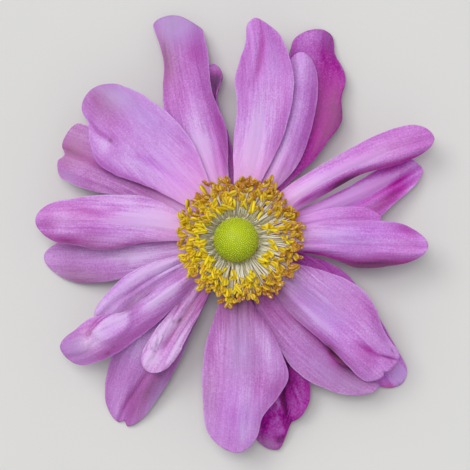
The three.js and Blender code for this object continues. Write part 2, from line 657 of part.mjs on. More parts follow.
function makeStamens() {
  const random = seededRandom(STAMEN_SEED);
  const pieces = [turned([
    [COLLAR_INNER_RADIUS, 0],
    [COLLAR_OUTER_RADIUS, 0],
    [COLLAR_OUTER_RADIUS, COLLAR_HEIGHT],
    [COLLAR_INNER_RADIUS, COLLAR_HEIGHT],
    [COLLAR_INNER_RADIUS, 0],
  ], ROUND_SIDES)];
  for (let i = 0; i < STAMEN_COUNT; i++) {
    const angle = i * GOLDEN_ANGLE + ANGLE_JITTER * (random() - 0.5);
    const share = Math.sqrt((i + 0.5) / STAMEN_COUNT);
    const inner = anglewise(INNER_REACH, INNER_REACH_MORE, INNER_REACH_TOWARDS, angle);
    const outer = anglewise(OUTER_REACH, OUTER_REACH_MORE, OUTER_REACH_TOWARDS, angle);
    const radius = inner + (outer - inner) * share + REACH_JITTER * (random() - 0.5);
    const rise = INNER_ANTHER_RISE + (OUTER_ANTHER_RISE - INNER_ANTHER_RISE) * share
      + RISE_JITTER * (random() - 0.5);
    const outwards = new THREE.Vector3(Math.cos(angle), Math.sin(angle), 0);
    const footRadius = COLLAR_INNER_RADIUS + FOOT_MARGIN
      + (COLLAR_OUTER_RADIUS - COLLAR_INNER_RADIUS - 2 * FOOT_MARGIN) * share;
    const foot = outwards.clone().multiplyScalar(footRadius).setZ(COLLAR_HEIGHT / 2);
    const neck = outwards.clone().multiplyScalar(radius).setZ(COLLAR_HEIGHT / 2 + rise);
    const bend = foot.clone().lerp(neck, 0.5);
    bend.z -= FILAMENT_SAG * rise;
    const sideways = new THREE.Vector3(-outwards.y, outwards.x, 0);
    const along = outwards.clone().multiplyScalar(ANTHER_OUTWARDS + ANTHER_OUTWARDS_MORE * random());
    along.addScaledVector(sideways, ANTHER_SIDEWAYS * (random() - 0.5));
    along.z = ANTHER_UPWARDS * random();
    pieces.push(makeStamen(foot, bend, neck, along.normalize()));
  }
  const mesh = new THREE.Mesh(joined(pieces), material("#e0a818", 0.6));
  mesh.name = "stamens";
  mesh.position.z = RECEPTACLE_TOP + SEAT_GAP;
  return mesh;
}

const flower = new THREE.Group();
flower.add(makeStalk(), makePistilHead(), makeStamens());
for (const tepal of TEPALS) flower.add(makeTepal(tepal));

// The origin lies on the ground, below the middle of the flower's box
const box = new THREE.Box3().setFromObject(flower, true);
flower.position.set(-(box.min.x + box.max.x) / 2, -(box.min.y + box.max.y) / 2, -box.min.z);

export default flower;
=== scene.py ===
"""A Japanese anemone flower, picked and lying face up: its petals, stamens, green head and stalk end."""

import math
import random
from collections import namedtuple

import bmesh
import bpy
import numpy as np
from mathutils import Matrix, Vector


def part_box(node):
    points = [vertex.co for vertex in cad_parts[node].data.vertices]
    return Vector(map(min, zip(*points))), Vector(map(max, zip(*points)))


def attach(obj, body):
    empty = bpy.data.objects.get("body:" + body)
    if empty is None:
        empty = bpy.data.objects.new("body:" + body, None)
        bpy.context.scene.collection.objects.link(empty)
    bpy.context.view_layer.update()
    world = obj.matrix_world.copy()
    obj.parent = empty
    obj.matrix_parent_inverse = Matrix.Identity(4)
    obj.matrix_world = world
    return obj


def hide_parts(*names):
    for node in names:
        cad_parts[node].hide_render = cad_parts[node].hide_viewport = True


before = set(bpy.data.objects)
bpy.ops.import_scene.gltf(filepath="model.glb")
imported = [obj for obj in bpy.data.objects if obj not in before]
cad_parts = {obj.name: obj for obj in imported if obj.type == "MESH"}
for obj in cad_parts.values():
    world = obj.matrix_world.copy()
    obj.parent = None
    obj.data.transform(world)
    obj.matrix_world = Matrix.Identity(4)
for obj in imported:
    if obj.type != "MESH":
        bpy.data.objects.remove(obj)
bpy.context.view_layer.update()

# Shapes are worked out in millimetres from the flower's axis, and made in metres.
MM = 0.001
STALK_LOW, STALK_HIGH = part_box("stalk")
STALK_END_HEIGHT = 0.3
AXIS = Vector((
    (STALK_LOW.x + STALK_HIGH.x) / 2,
    (STALK_LOW.y + STALK_HIGH.y) / 2,
    STALK_LOW.z - STALK_END_HEIGHT * MM,
))
UP = Vector((0, 0, 1))
GOLDEN_ANGLE = math.pi * (3 - math.sqrt(5))

# Petals: where a range has two values, an effect grows from the first to the second.
PETAL_SEED = 100
GRAIN_STEP = 7
PETAL_THICKNESS = 0.3
PETAL_BASE_RADIUS = 3.6
PETAL_BASE_HALF_WIDTH = 0.8
PETAL_ROWS = 96
PETAL_COLUMNS = 52
RELIEF_GROWN_AT = 0.35
ROLL_RANGE = (0.45, 1.1)
TIP_BEND_FROM = 0.7
FOLD_FADE = 0.2
DROOP_FROM = 0.5
DROOP_PASSES = 3
PAD_FLAT_TO = 0.65
PAD_EDGE = 1.1
PAD_SOFT_SIDE = 0.4
TOP_LAYER_HEIGHT = 9.2
LAYER_STEP = 1
LAYER_SPREAD = 0.07
ARCH_RISE = 0.13
ARCH_FALL = 0.0055
MARGIN_WOBBLE = 0.011
MARGIN_WAVES = (2.3, 4.1, 7.7, 12.9)
WOBBLE_RANGE = (0.25, 0.6)
RIB_HEIGHT = 0.035
RIB_SPACING = 1.15
RIB_PHASES = 6
RIBS_IN = (0.05, 0.3)
RIBS_OUT = (0.75, 1)

# Petal tones. Radii are in millimetres from the axis. Every foot is paler; painted light makes the upper
# petals' feet paler still, and further out. Painted shade darkens the feet round the stamens, further out
# on the lower petals.
DEPTH_SHIFT = 0.02
BLUE_SHIFT = 0.11
# Painted light and shade from the relief: raised folds and pads paler, sunk folds deeper, and a painted
# shadow line along a pad's crisp rim.
FOLD_LIGHT_AND_SHADE = 0.3
PAD_LIGHT = 0.1
PAD_RIM_SHADE = 0.2
PAD_RIM_SHADE_AT = 1.08
PAD_RIM_SHADE_WIDTH = 0.09
PAD_RIM_SHADE_RANGE = (-0.2, 0.6)
UPPER_RANGE = (-0.5, 0.4)
# Painted shade on the feet round the stamens, reaching further out on the lower petals.
FOOT_SHADE = 0.9
FOOT_SHADE_FROM, FOOT_SHADE_TO, FOOT_SHADE_UPPER = 5.2, 9, -1.6
VEINED_RANGE = (9, 24)
# Pale feet: the petals' own paler base, with painted light on the upper petals' feet.
FOOT_PALENESS, FOOT_LIGHT_UPPER = 0.15, 0.65
FOOT_FROM, FOOT_TO, FOOT_LIGHT_REACH = 8.5, 12, 9
FOOT_DEPTH_FROM, FOOT_DEPTH_FADE = 0.5, 0.5
# Painted light along the thin margins: paler and bluer, where light shows through the edge.
MARGIN_RANGE = (0.93, 0.995)
MARGIN_GROWN = (0.2, 0.5)
MARGIN_LIGHT = 0.15
MARGIN_LIGHT_BLUE = 0.1

# Stalk end and the receptacle that it widens into: (radius, height), upwards
STALK_PROFILE = (
    (0.0, 0.3), (0.78, 0.3), (0.95, 0.42), (0.93, 1.6), (0.96, 2.9), (0.98, 3.8), (1.2, 4.8), (1.75, 5.5),
    (2.6, 6.0), (3.1, 6.3), (3.3, 6.8), (3.3, 9.4), (3.1, 9.7), (0.0, 9.7),
)
STALK_SIDES = 40
STALK_RIBS = 6
STALK_RIB_DEPTH = 0.03
STALK_RIB_TWIST = 0.3
STALK_CORE_RADIUS = 0.3
CUT_FACE_BELOW = 0.35
HAIR_SEED = 5
STALK_HAIRS = 260
HAIR_HEIGHTS = (0.7, 5.0)
STALK_SKIN_RADIUS, FLARE_SKIN_RADIUS = 0.93, 0.95
HAIR_FLARE_FROM = 3.8
HAIR_FLARE = 0.25
HAIR_LENGTH = 0.9
HAIR_SHORTEST = 0.5
HAIR_RISE = (0.1, 0.8)
HAIR_BEND = 0.08
HAIR_ROOT = 0.05
HAIR_RADIUS = 0.022
HAIR_SIDES = 3
HAIR_END = 0.15

# Green head: a dome of crowded carpels
HEAD_HEIGHT = 12.2
HEAD_RADIUS = 3.7
HEAD_NECK_RADIUS = 2
HEAD_WAIST = 2.2
HEAD_CROWN = 2.7
HEAD_RINGS = 22
HEAD_SIDES = 48
# Painted light on the head: lighter towards the top, and tilted so the upper side is lighter.
HEAD_LIGHT_FROM = -0.3
HEAD_LIGHT_TILT = 0.2
HEAD_LIGHT_POWER = 0.9
CARPEL_SEED = 7
CARPEL_COUNT = 1150
CARPEL_FIRST = 0.995
CARPEL_SPAN = 1.5
CARPEL_RADIUS = 0.15
CARPEL_STANDS_OUT = 0.12
CARPEL_TAPER = 0.25
CARPEL_TURN = 0.02
CARPEL_SIZES = (0.85, 1.15)
CARPEL_HEIGHTS = (0.8, 1.2)

# Stamens. A reach is (mean, more, angle that has more). A scatter goes as far either way.
STAMEN_SEED = 23
STAMEN_COUNT = 540
ANGLE_SCATTER = 0.12
INNER_REACH = (5.6, 1, -15)
OUTER_REACH = (9.7, 0.8, 10)
REACH_SCATTER = 0.6
CLUMPING = 0.3
CLUMP_WAVES = ((1, 7, 1), (0.8, 12, 2.5), (0.6, 19, 0))
STRAYS_BELOW, STRAY_REACH = 0.05, (0.6, 1.5)
NEAR_ABOVE, NEAR_REACH = 0.92, (4.8, 6.2)
RISE_FIRST, RISE_LOSS, RISE_SCATTER = 3.0, 1.5, 0.6
NECK_SCATTER = 0.5
BEND_SCATTER = 0.3
COLLAR_HEIGHT = 10.0
COLLAR_INNER_RADIUS = 3.05
COLLAR_OUTER_RADIUS = 4.5
COLLAR_THICKNESS = 0.45
COLLAR_SIDES = 48
FOOT_MARGIN = 0.2
FILAMENT_SIDES = 5
FILAMENT_CUTS = 5
FILAMENT_FLAT = 1.5
UPPER_FILAMENT, UPPER_LIFT = (0.085, 0.055), (0.7, 1.2)
LOWER_FILAMENT, LOWER_LIFT = (0.06, 0.045), (-0.5, 0.1)
ANTHER_SIZE = (0.38, 0.29, 0.85)
ANTHER_GROOVE_WIDTH = 0.34
ANTHER_GROOVE_DEPTH = 0.55
# Width of the painted shade in an anther's groove.
ANTHER_GROOVE_SHADE_WIDTH = 0.3
ANTHER_TAPER = 0.12
ANTHER_LEAN_OUT, ANTHER_LEAN_UP, ANTHER_LEAN_SCATTER = (0.2, 1.3), (-0.2, 1.4), 0.9
ANTHER_ROLL_SCATTER = 0.9
ANTHER_BOW_SCATTER = 0.18
ANTHER_WIDTHS, ANTHER_LENGTHS = (0.8, 1.25), (0.7, 1.1)
ANTHER_HOLD = 0.85
NEAR_GROWTH, GROWTH = (1.15, 1.4), (0.75, 1.25)
AGE_FIRST, AGE_SHARE, AGE_SCATTER = -0.2, 0.9, 0.45
AGE_UPWARDS, AGE_RIGHTWARDS = 0.25, 0.22

# Camera and light
CAMERA_OFFSET = (-0.00017, 0.00085, 0.56)
CAMERA_LENS, CAMERA_SENSOR = 249.2, 36
FLOOR_HALF_WIDTH, FLOOR_DEPTH = 1.5, 0.0001
SKY_COLOUR, SKY_STRENGTH = (0.97, 0.98, 1, 1), 0.42
LAMP_COLOUR = (1, 0.985, 0.96)
# name, energy, angle in degrees, direction
LAMPS = (
    ("soft window", 0.95, 30, (0.42, -0.42, -0.9)),
    ("front light", 0.9, 20, (0.05, -0.15, -1)),
)

# A fold or crease: at and wide are shares of the petal's half width. high is in millimetres and sinks it
# below 0. start, end and fade are shares of its length. drift is how far it moves to the left over the
# whole length.
Fold = namedtuple("Fold", "at wide high start end drift fade", defaults=(0, FOLD_FADE))

# Each petal. base is the direction of its foot, in degrees anticlockwise from +X, and tip its end in
# millimetres. layer: 0 is on top, 2 at the back. bow: sideways to the left. left and right: half widths in
# millimetres, evenly spaced to the tip. A pad is an oval swelling: along and length are shares of the
# petal's length, across, width and high are millimetres, and side is the side with a crisp rim. depth: 0 is
# pale lilac, 1 magenta. blueness: towards blue above 0, towards pink below. deep to brown are tints, soft
# patches in hundredths of the length and half width: (place along, place across, length, width, strength,
# drift to the left over the whole length). depth and the tints give the petal's own colour and also painted
# light and shade: deep, grey and brown patches paint shade at overlaps, in creases and under the stamens,
# and pale patches paint light on ridges and lobes and lighten the shade under upper petals.
PETALS = {
    "tepal_top": dict(
        layer=0, slot="tepal_pale", base=86, tip=(3.2, 37.7), bow=-2.5, round=0.12, cup=-0.4,
        left=(1.9, 2.9, 3.75, 4.2, 4.15, 4.3, 4.6, 3.6, 2.1, 2.4),
        right=(1.1, 1.8, 2.7, 3.75, 4.55, 5.1, 5.3, 4.85, 3.8, 1.7),
        folds=(
            Fold(1.6, 0.2, -0.38, 0.6, 0.85, drift=-1.95, fade=0.1), Fold(-0.12, 0.16, -0.25, 0.05, 0.5),
            Fold(0.45, 0.25, 0.3, 0.2, 1.2),
        ),
        depth=0.22, blueness=0.05,
        deep=(
            (25, -50, 6, 30, 25), (34, -80, 14, 30, 35), (50, -90, 30, 25, 45), (60, 50, 10, 25, 25),
            (77, 80, 13, 40, 50), (84, -4, 12, 13, 80, -195), (86, 50, 7, 30, 30), (87, -60, 10, 40, 35),
            (90, -60, 8, 30, 20), (97, 0, 6, 70, 35),
        ),
        pale=(
            (35, 0, 5, 20, 70), (35, 0, 6, 25, 50), (35, 12, 10, 35, 70), (38, 5, 20, 35, 100),
            (65, -85, 8, 20, 35),
        ),
        pink=((62, -60, 12, 30, 30), (80, 5, 12, 20, 40, -195)),
        blue=((80, -45, 15, 20, 30),),
    ),
    "tepal_upper_left": dict(
        layer=0, slot="tepal_pale", base=134, tip=(-24.8, 25.3), bow=0, round=0.1, cup=-0.3,
        left=(1.3, 2, 3, 4.1, 5.6, 7.1, 7.5, 6.1, 3.9, 4.1),
        right=(2.3, 3.5, 4.9, 6.1, 6.8, 6.9, 6.4, 5.8, 4.5, 3.2),
        folds=(
            Fold(-0.4, 0.14, -0.45, 0.1, 0.5, drift=1.25), Fold(-0.4, 0.3, 0.35, 0.3, 0.9),
            Fold(-1.54, 0.1, -0.22, 0.72, 0.87, drift=2.75, fade=0.05),
        ),
        pads=(
            dict(along=0.53, across=5.4, length=0.24, width=2.9, high=0.4, pale=0, line=0),
        ),
        depth=0.28, blueness=0.2,
        deep=(
            (25, -85, 20, 12, 60), (40, 10, 18, 12, 20, 125), (50, 54, 18, 9, 10, -10),
            (50, 100, 25, 12, 90), (66, 90, 10, 30, 40), (72, 36, 5, 10, 35), (79, 60, 6, 8, 60, 275),
            (80, -30, 12, 80, 15), (88, 0, 8, 60, 25), (88, 75, 5, 20, 25), (90, 0, 12, 60, 40),
            (93, -50, 6, 40, 60), (95, -30, 5, 80, 30), (96, 10, 7, 90, 35),
        ),
        pale=(
            (25, 10, 15, 50, 70), (30, 20, 8, 60, 30), (42, 5, 12, 50, 90), (57, 45, 11, 25, 50),
            (60, 76, 14, 14, 15, -30), (73, 60, 3, 12, 50), (75, 72, 7, 16, 50),
        ),
        pink=((40, -50, 15, 30, 25), (80, 30, 12, 50, 15), (88, 0, 14, 50, 15)),
        blue=((74, -55, 20, 35, 50), (90, -60, 10, 50, 35), (95, -50, 10, 50, 10)),
        vivid=((30, 0, 12, 100, 100), (45, 0, 15, 50, 80)),
        grey=((85, 0, 10, 60, 50), (90, -40, 10, 50, 80), (95, 0, 12, 100, 100)),
        brown=((73, 47, 1.2, 4, 80),),
    ),
    "tepal_left": dict(
        layer=0, slot="tepal_mid", base=177, tip=(-34, 3.1), bow=-1.4, round=0.14, cup=-0.1, roll_left=0.7,
        left=(1.8, 3.2, 5, 4.2, 3), right=(2.8, 4.6, 4.4, 3.6, 2.8),
        folds=(
            Fold(0.35, 0.25, -0.25, 0.15, 1.2), Fold(-0.25, 0.35, 0.35, 0.1, 1.2),
            Fold(-0.8, 0.2, -0.25, 0.3, 0.8),
        ),
        depth=0.28, blueness=-0.05, vividness=-0.03,
        deep=(
            (22, 40, 8, 20, 50), (40, 85, 10, 20, 30), (45, 97, 25, 10, 60), (55, -45, 6, 20, 30),
            (60, -35, 9, 18, 15), (65, 40, 8, 25, 20), (70, 45, 10, 20, 30), (72, -40, 14, 16, 60, -150),
            (78, 85, 30, 25, 90), (80, 85, 9, 20, 50), (85, 80, 8, 20, 35), (93, 30, 6, 50, 30),
            (95, 0, 6, 90, 25),
        ),
        pale=(
            (30, -30, 16, 50, 110), (40, -15, 12, 30, 35), (42, 0, 12, 25, 40), (52, 0, 16, 30, 60),
            (54, -80, 10, 20, 80), (86, 35, 6, 30, 35),
        ),
        pink=((60, 0, 20, 30, 30), (80, -30, 20, 60, 40)),
        blue=((60, 35, 20, 30, 25),),
        vivid=((60, 0, 20, 40, 80),),
        grey=((65, 80, 30, 40, 100), (90, 20, 10, 60, 40)),
        brown=((62, 100, 30, 12, 50),),
    ),
    "tepal_lower_left_ridge": dict(
        layer=0, slot="tepal_mid", base=217, tip=(-29.8, -18.4), bow=1.4, round=0.1, cup=-0.2, roll_left=1,
        roll_right=0.4,
        left=(1.5, 2.8, 3.9, 4.6, 3.7), right=(1.2, 1.6, 1.7, 1.6, 1.2, 1, 2.1, 2.7, 1.85, 1.5),
        folds=(
            Fold(-0.05, 0.35, 0.8, 0.05, 0.38), Fold(0.5, 0.15, -0.3, 0.7, 1.2),
        ),
        pads=(
            dict(along=0.685, across=-0.6, length=0.15, width=1.6, high=0.08, drift=4.2, pale=0.04,
                 line=0.4, side=-1),
            dict(along=0.69, across=-0.45, length=0.125, width=1.2, high=0.6, drift=3.4, pale=0.33,
                 line=0.55, side=-1),
            dict(along=0.91, across=0.6, length=0.08, width=1.6, high=0.3, line=0.05),
        ),
        depth=0.33, blueness=0.1, vividness=-0.08,
        deep=(
            (22, 0, 6, 100, 40), (25, 0, 5, 120, 30), (45, -95, 20, 25, 20), (55, -30, 5, 60, 50),
            (58, 85, 25, 28, 85), (68, 40, 10, 30, 35), (70, 45, 10, 20, 30), (78, 85, 10, 20, 35),
            (80, 85, 8, 20, 40), (93, 0, 6, 90, 35), (95, 0, 8, 90, 40),
        ),
        pale=(
            (38, 0, 20, 35, 100), (40, -60, 12, 30, 40), (70, -60, 5, 25, 45), (82, 35, 8, 30, 60),
            (84, 0, 6, 50, 30),
        ),
        pink=((78, -50, 5, 30, 40), (84, -20, 4, 60, 70)),
        blue=((86, 0, 6, 50, 30), (94, 10, 7, 80, 40)),
        vivid=((70, 10, 12, 30, 80),),
        grey=((85, 20, 10, 60, 90), (86, 0, 8, 50, 80)),
        brown=((60, -100, 5, 30, 20), (60, -78, 5, 12, 20, 230), (74, 72, 1, 5, 40), (78, 85, 1.2, 6, 50)),
    ),
    "tepal_bottom": dict(
        layer=0, slot="tepal_pale", base=266, tip=(-0.2, -36.1), bow=1.3, round=0.12, cup=-0.5,
        left=(1.1, 1.8, 3.6, 5.5, 6.9, 7.75, 6.2, 3.9, 3.4, 2.9), right=(3.4, 5.9, 6.8, 6.1, 4.4),
        ripple=dict(high=0.25, waves=2.6, phase=1.2),
        folds=(
            Fold(-0.08, 0.1, -0.3, 0, 0.45), Fold(0.35, 0.2, -0.3, 0.35, 0.75),
            Fold(0.65, 0.2, 0.35, 0.3, 0.55), Fold(0, 0.3, 0.25, 0.5, 1.2),
        ),
        depth=0.36, blueness=0.15, vividness=-0.07,
        deep=(
            (16, -10, 9, 50, 100), (20, 0, 6, 80, 35), (25, -85, 6, 30, 35), (25, 85, 5, 30, 70),
            (27, 50, 6, 70, 35), (28, -70, 8, 30, 25), (30, -11, 12, 5, 50), (30, 0, 10, 120, 25),
            (30, 90, 8, 25, 45), (40, 98, 20, 10, 70), (45, 45, 6, 25, 25), (50, -90, 25, 20, 40),
            (62, 35, 12, 14, 15), (62, 80, 8, 30, 35), (71, 90, 13, 30, 60), (85, -15, 14, 16, 35),
            (95, 30, 5, 70, 35),
        ),
        pale=((42, 60, 12, 25, 50), (78, 0, 15, 40, 25), (80, 25, 16, 25, 50), (86, 50, 8, 30, 30)),
        pink=((50, -70, 25, 30, 30), (64, 45, 8, 25, 30)),
        blue=((45, -5, 15, 30, 40), (85, 40, 12, 50, 35)),
        vivid=((78, -10, 15, 50, 90),),
        grey=((20, 0, 7, 80, 80), (30, 10, 10, 100, 80), (50, 0, 15, 60, 50), (70, -85, 15, 25, 100)),
        brown=((12, -10, 6, 50, 50), (19, 10, 9, 130, 50)),
    ),
    "tepal_lower_right": dict(
        layer=0, slot="tepal_pale", base=326, tip=(26.6, -22), bow=0.6, round=0.07, cup=-0.3, roll_left=0.3,
        roll_right=0.9, tip_bend=-0.7,
        left=(1.6, 2.4, 3.8, 5.1, 6.1, 6.4, 5.6, 4, 3.1, 3.1),
        right=(2, 3.1, 4.1, 4.6, 4.65, 4.65, 4.65, 4.75, 4.8, 4.2),
        notch=dict(at=-0.3, wide=0.09, deep=0.022),
        folds=(
            Fold(-0.45, 0.25, 0.45, 0.05, 0.6), Fold(0.05, 0.18, -0.3, 0.05, 0.5),
            Fold(-4.8, 0.11, -0.5, 0.87, 1.2, drift=5.45, fade=0.05),
            Fold(-1.26, 0.2, -0.45, 0.72, 0.86, drift=1.43, fade=0.08),
        ),
        depth=0.28, blueness=0.15, vividness=-0.04,
        deep=(
            (20, -60, 12, 30, 50), (25, 80, 5, 30, 30), (30, -70, 12, 40, 80), (35, -40, 7, 25, 30),
            (35, 90, 15, 15, 40), (58, -100, 32, 24, 120), (70, 85, 15, 25, 50), (80, 80, 10, 30, 25),
            (83, -8, 5, 10, 80, 143), (90, -35, 10, 40, 35), (92.5, 25, 3.5, 9, 120, 545),
            (95, 15, 3, 40, 50),
        ),
        pale=((42, -50, 16, 22, 70), (55, 5, 14, 25, 30), (90, 85, 3, 12, 50), (95, -20, 3, 35, 70)),
        pink=((66, 60, 12, 40, 30), (80, -30, 15, 50, 45)),
        blue=((45, -10, 20, 40, 45),),
        vivid=((60, -35, 20, 40, 110), (70, 30, 15, 50, 50)),
        grey=((25, 0, 10, 100, 80), (35, -85, 15, 30, 120), (65, 50, 20, 50, 40)),
        brown=(
            (22, -60, 6, 50, 35), (66, -100, 4, 14, 80), (92.5, 72, 2, 5, 60, -300),
            (94.5, 35, 2.5, 4.5, 80, 545), (98.5, -30, 2, 6, 70), (99.5, 0, 0.8, 60, 70),
        ),
    ),
    "tepal_right": dict(
        layer=0, slot="tepal_pale", base=358, tip=(32.6, -1), bow=0.2, round=0.16, cup=0, roll_right=1.2,
        left=(2.2, 3, 3.7, 3.7, 2.2), right=(1.6, 2.5, 4.2, 3.6, 2.4),
        folds=(
            Fold(-0.1, 0.12, -0.25, 0, 1.2), Fold(-0.4, 0.25, 0.35, 0.1, 1.2),
            Fold(0.4, 0.3, 0.3, 0.1, 1.2),
        ),
        depth=0.3, blueness=0.15,
        deep=(
            (30, -90, 12, 20, 90), (33, 0, 6, 90, 25), (50, -12, 35, 7, 20), (60, -100, 26, 30, 250),
            (64, -50, 30, 22, 60), (68, -60, 15, 35, 30), (70, -90, 12, 20, 35), (70, -85, 12, 20, 35),
            (86, -100, 15, 25, 100), (86, 80, 7, 25, 35), (86, 80, 9, 25, 45),
        ),
        pale=((38, 40, 20, 40, 70), (70, 0, 25, 20, 30)),
        pink=((58, -100, 40, 25, 60), (88, 0, 14, 80, 50)),
        blue=((50, 10, 16, 40, 30),),
        vivid=((65, 45, 25, 40, 90),),
        grey=((70, -80, 20, 30, 90),),
        brown=((62, -100, 18, 25, 30),),
    ),
    "tepal_upper_right_strap": dict(
        layer=0, slot="tepal_mid", base=32, tip=(33.7, 17.3), bow=2.2, round=0.12, cup=-0.2, roll_left=0.4,
        roll_right=1.2,
        left=(2.1, 2.3, 2.7, 3.3, 2.9), right=(1.9, 2.2, 2, 2.6, 1.8),
        folds=(
            Fold(0.1, 0.35, 0.4, 0, 0.6), Fold(0, 0.25, -0.35, 0.65, 1.2),
        ),
        depth=0.3, blueness=-0.1, vividness=0.01,
        deep=(
            (27, -45, 7, 25, 70), (30, 90, 10, 25, 40), (38, -45, 17, 25, 80), (45, -90, 35, 30, 90),
            (50, -90, 7, 25, 50), (50, -85, 10, 25, 40), (50, -85, 10, 30, 60), (50, -80, 8, 25, 50),
            (82, -100, 16, 28, 140),
        ),
        pale=(
            (25, 0, 6, 25, 40), (25, 10, 8, 30, 50), (30, 25, 10, 25, 35), (34, 40, 8, 25, 45),
            (38, 5, 25, 40, 110), (60, 0, 25, 25, 30), (65, 20, 15, 40, 25), (66, -40, 5, 25, 35),
            (71, -15, 9, 35, 55), (75, 40, 12, 30, 30),
        ),
        pink=((55, 20, 20, 50, 30), (80, 10, 20, 80, 40)),
        blue=((30, 20, 10, 30, 25),),
        vivid=((50, 40, 25, 50, 90),),
        grey=((32, 20, 10, 30, 80), (50, -90, 12, 30, 120), (50, 90, 10, 25, 120)),
    ),
    "tepal_top_left_strap": dict(
        layer=1, slot="tepal_pale", base=108, tip=(-10.6, 38.6), bow=1.5, round=0.05, cup=-0.2,
        roll_left=0.3, roll_right=0.9, tip_bend=-0.8,
        left=(2.5, 4.1, 4.3, 2.8, 4.1), right=(2.8, 4.9, 4.3, 4.8, 4.4),
        notch=dict(at=-1, wide=0.6, deep=0.05),
        folds=(
            Fold(-0.05, 0.35, 0.4, 0, 0.5), Fold(-0.45, 0.15, -0.3, 0.05, 0.45),
            Fold(0.1, 0.3, -0.28, 0.55, 0.9),
        ),
        depth=0.34, blueness=-0.02, vividness=-0.02,
        deep=(
            (32, -85, 25, 30, 80), (33, 85, 15, 15, 50), (55, -80, 15, 30, 35), (56, 15, 8, 35, 30),
            (78, 10, 14, 60, 20), (80, -50, 9, 40, 35), (80, 80, 9, 30, 40), (80, 95, 18, 35, 70),
            (82, 70, 10, 30, 35), (84, -65, 11, 35, 60), (85, 80, 6, 25, 25), (95, 0, 6, 90, 30),
            (95, 0, 8, 80, 30), (97, 0, 6, 90, 40), (97, 10, 8, 90, 35),
        ),
        pale=(
            (28, 0, 8, 30, 50), (28, 0, 9, 35, 50), (28, 30, 8, 30, 60), (30, 0, 10, 30, 50),
            (30, 0, 20, 30, 120, 30), (55, -40, 12, 25, 25),
        ),
        pink=((65, 50, 15, 50, 25),),
        blue=((96, 0, 10, 100, 120),),
        vivid=((25, -40, 10, 60, 100),),
        grey=((80, 80, 12, 40, 220), (82, 30, 12, 50, 80), (97, 0, 6, 100, 100)),
    ),
    "tepal_top_narrow": dict(
        layer=1, slot="tepal_pale", base=72, tip=(11.1, 32), bow=-2.6, round=0.12, cup=-0.6, roll_right=0.3,
        left=(1.7, 2.8, 3, 2.9, 2.2), right=(1.5, 3.2, 3.4, 3.2, 2.3),
        folds=(
            Fold(-0.1, 0.35, 0.35, 0, 1.2), Fold(0.5, 0.16, -0.3, 0.1, 0.6),
        ),
        depth=0.3, blueness=0.1, vividness=0.02,
        deep=(
            (35, -40, 6, 25, 30), (42, -40, 12, 25, 55), (45, -85, 25, 20, 40), (50, 95, 40, 30, 40),
            (70, -85, 25, 35, 65),
        ),
        pale=((28, 0, 20, 35, 90), (90, 20, 10, 50, 40)),
    ),
    "tepal_upper_left_under": dict(
        layer=1, slot="tepal_mid", base=155, tip=(-30.1, 15.2), bow=-1.4, round=0.07, cup=0.1,
        left=(1.6, 2.4, 3.7, 4.8, 4.1), right=(1.5, 2.6, 3.8, 5.3, 5.6),
        notch=dict(at=0.1, wide=0.2, deep=0.035),
        folds=(
            Fold(0.55, 0.14, -0.7, 0.55, 1.2, drift=-0.65), Fold(0.2, 0.1, 0.3, 0.6, 1.2),
            Fold(0.55, 0.25, 0.4, 0.4, 1.2), Fold(-0.6, 0.25, 0.3, 0.6, 1.2),
        ),
        depth=0.5, blueness=-0.12, vividness=-0.16,
        deep=(
            (45, -10, 25, 50, 60), (45, 40, 6, 40, 25), (80, 80, 10, 30, 35), (85, -35, 12, 30, 20),
            (92, -8, 12, 10, 70, -65), (95, 0, 5, 90, 35),
        ),
        pale=((84, 0, 4, 30, 60),),
        pink=((90, -10, 15, 50, 50),),
        blue=((92, 85, 12, 30, 50),),
        grey=((93, -30, 6, 80, 100),),
        brown=((50, 10, 8, 10, 35),),
    ),
    "tepal_lower_left_folded": dict(
        layer=1, slot="tepal_mid", base=207, tip=(-23.8, -13.9), bow=-1.7, round=0.1, cup=0.2,
        left=(1, 1.8, 2.2, 2.9, 3.2), right=(1, 1.9, 2.6, 2.3, 1.4),
        folds=(
            Fold(0.7, 0.3, -0.6, 0.15, 0.9), Fold(0.1, 0.14, -0.4, 0.1, 0.6),
            Fold(-0.5, 0.3, 0.5, 0.15, 0.9),
        ),
        depth=0.3, blueness=0.15, vividness=-0.12,
        deep=((50, 90, 30, 30, 35), (68, 25, 8, 35, 35), (75, -70, 10, 40, 30), (75, 70, 5, 30, 40)),
        pale=((38, -10, 8, 40, 30), (40, 20, 13, 60, 110), (60, -60, 30, 30, 80), (85, 30, 7, 40, 60)),
        vivid=((70, -70, 15, 40, 100),),
        grey=((70, 70, 12, 40, 100),),
        brown=((62, 95, 12, 20, 30),),
    ),
    "tepal_bottom_left_flap": dict(
        layer=1, slot="tepal_pale", base=236, tip=(-15, -22.3), bow=-0.2, round=0.12, cup=0.3, tip_bend=0.4,
        left=(1.1, 1.9, 2.4, 2.8, 2.2), right=(1.3, 1.8, 2.4, 2.7, 2.3),
        ripple=dict(high=0.25, waves=3, phase=0.4),
        folds=(
            Fold(0.05, 0.2, -0.55, 0.1, 0.78, fade=0.1), Fold(-0.45, 0.15, 0.4, 0.35, 0.85),
            Fold(0.7, 0.2, 0.35, 0.2, 0.8),
        ),
        pads=(
            dict(along=0.94, across=0.3, length=0.11, width=2.5, high=0.35, pale=0.05, line=0, side=-1),
            dict(along=0.8, across=-1.7, length=0.07, width=0.35, high=0.3, drift=6, pale=0.3, line=0.3),
            dict(along=0.77, across=-0.9, length=0.05, width=0.25, high=0.25, drift=8, pale=0.3, line=0.2),
            dict(along=0.62, across=2.2, length=0.28, width=0.8, high=0.4),
            dict(along=0.66, across=-2, length=0.2, width=0.75, high=0.35),
        ),
        depth=0.28, blueness=-0.2, vividness=-0.14,
        deep=(
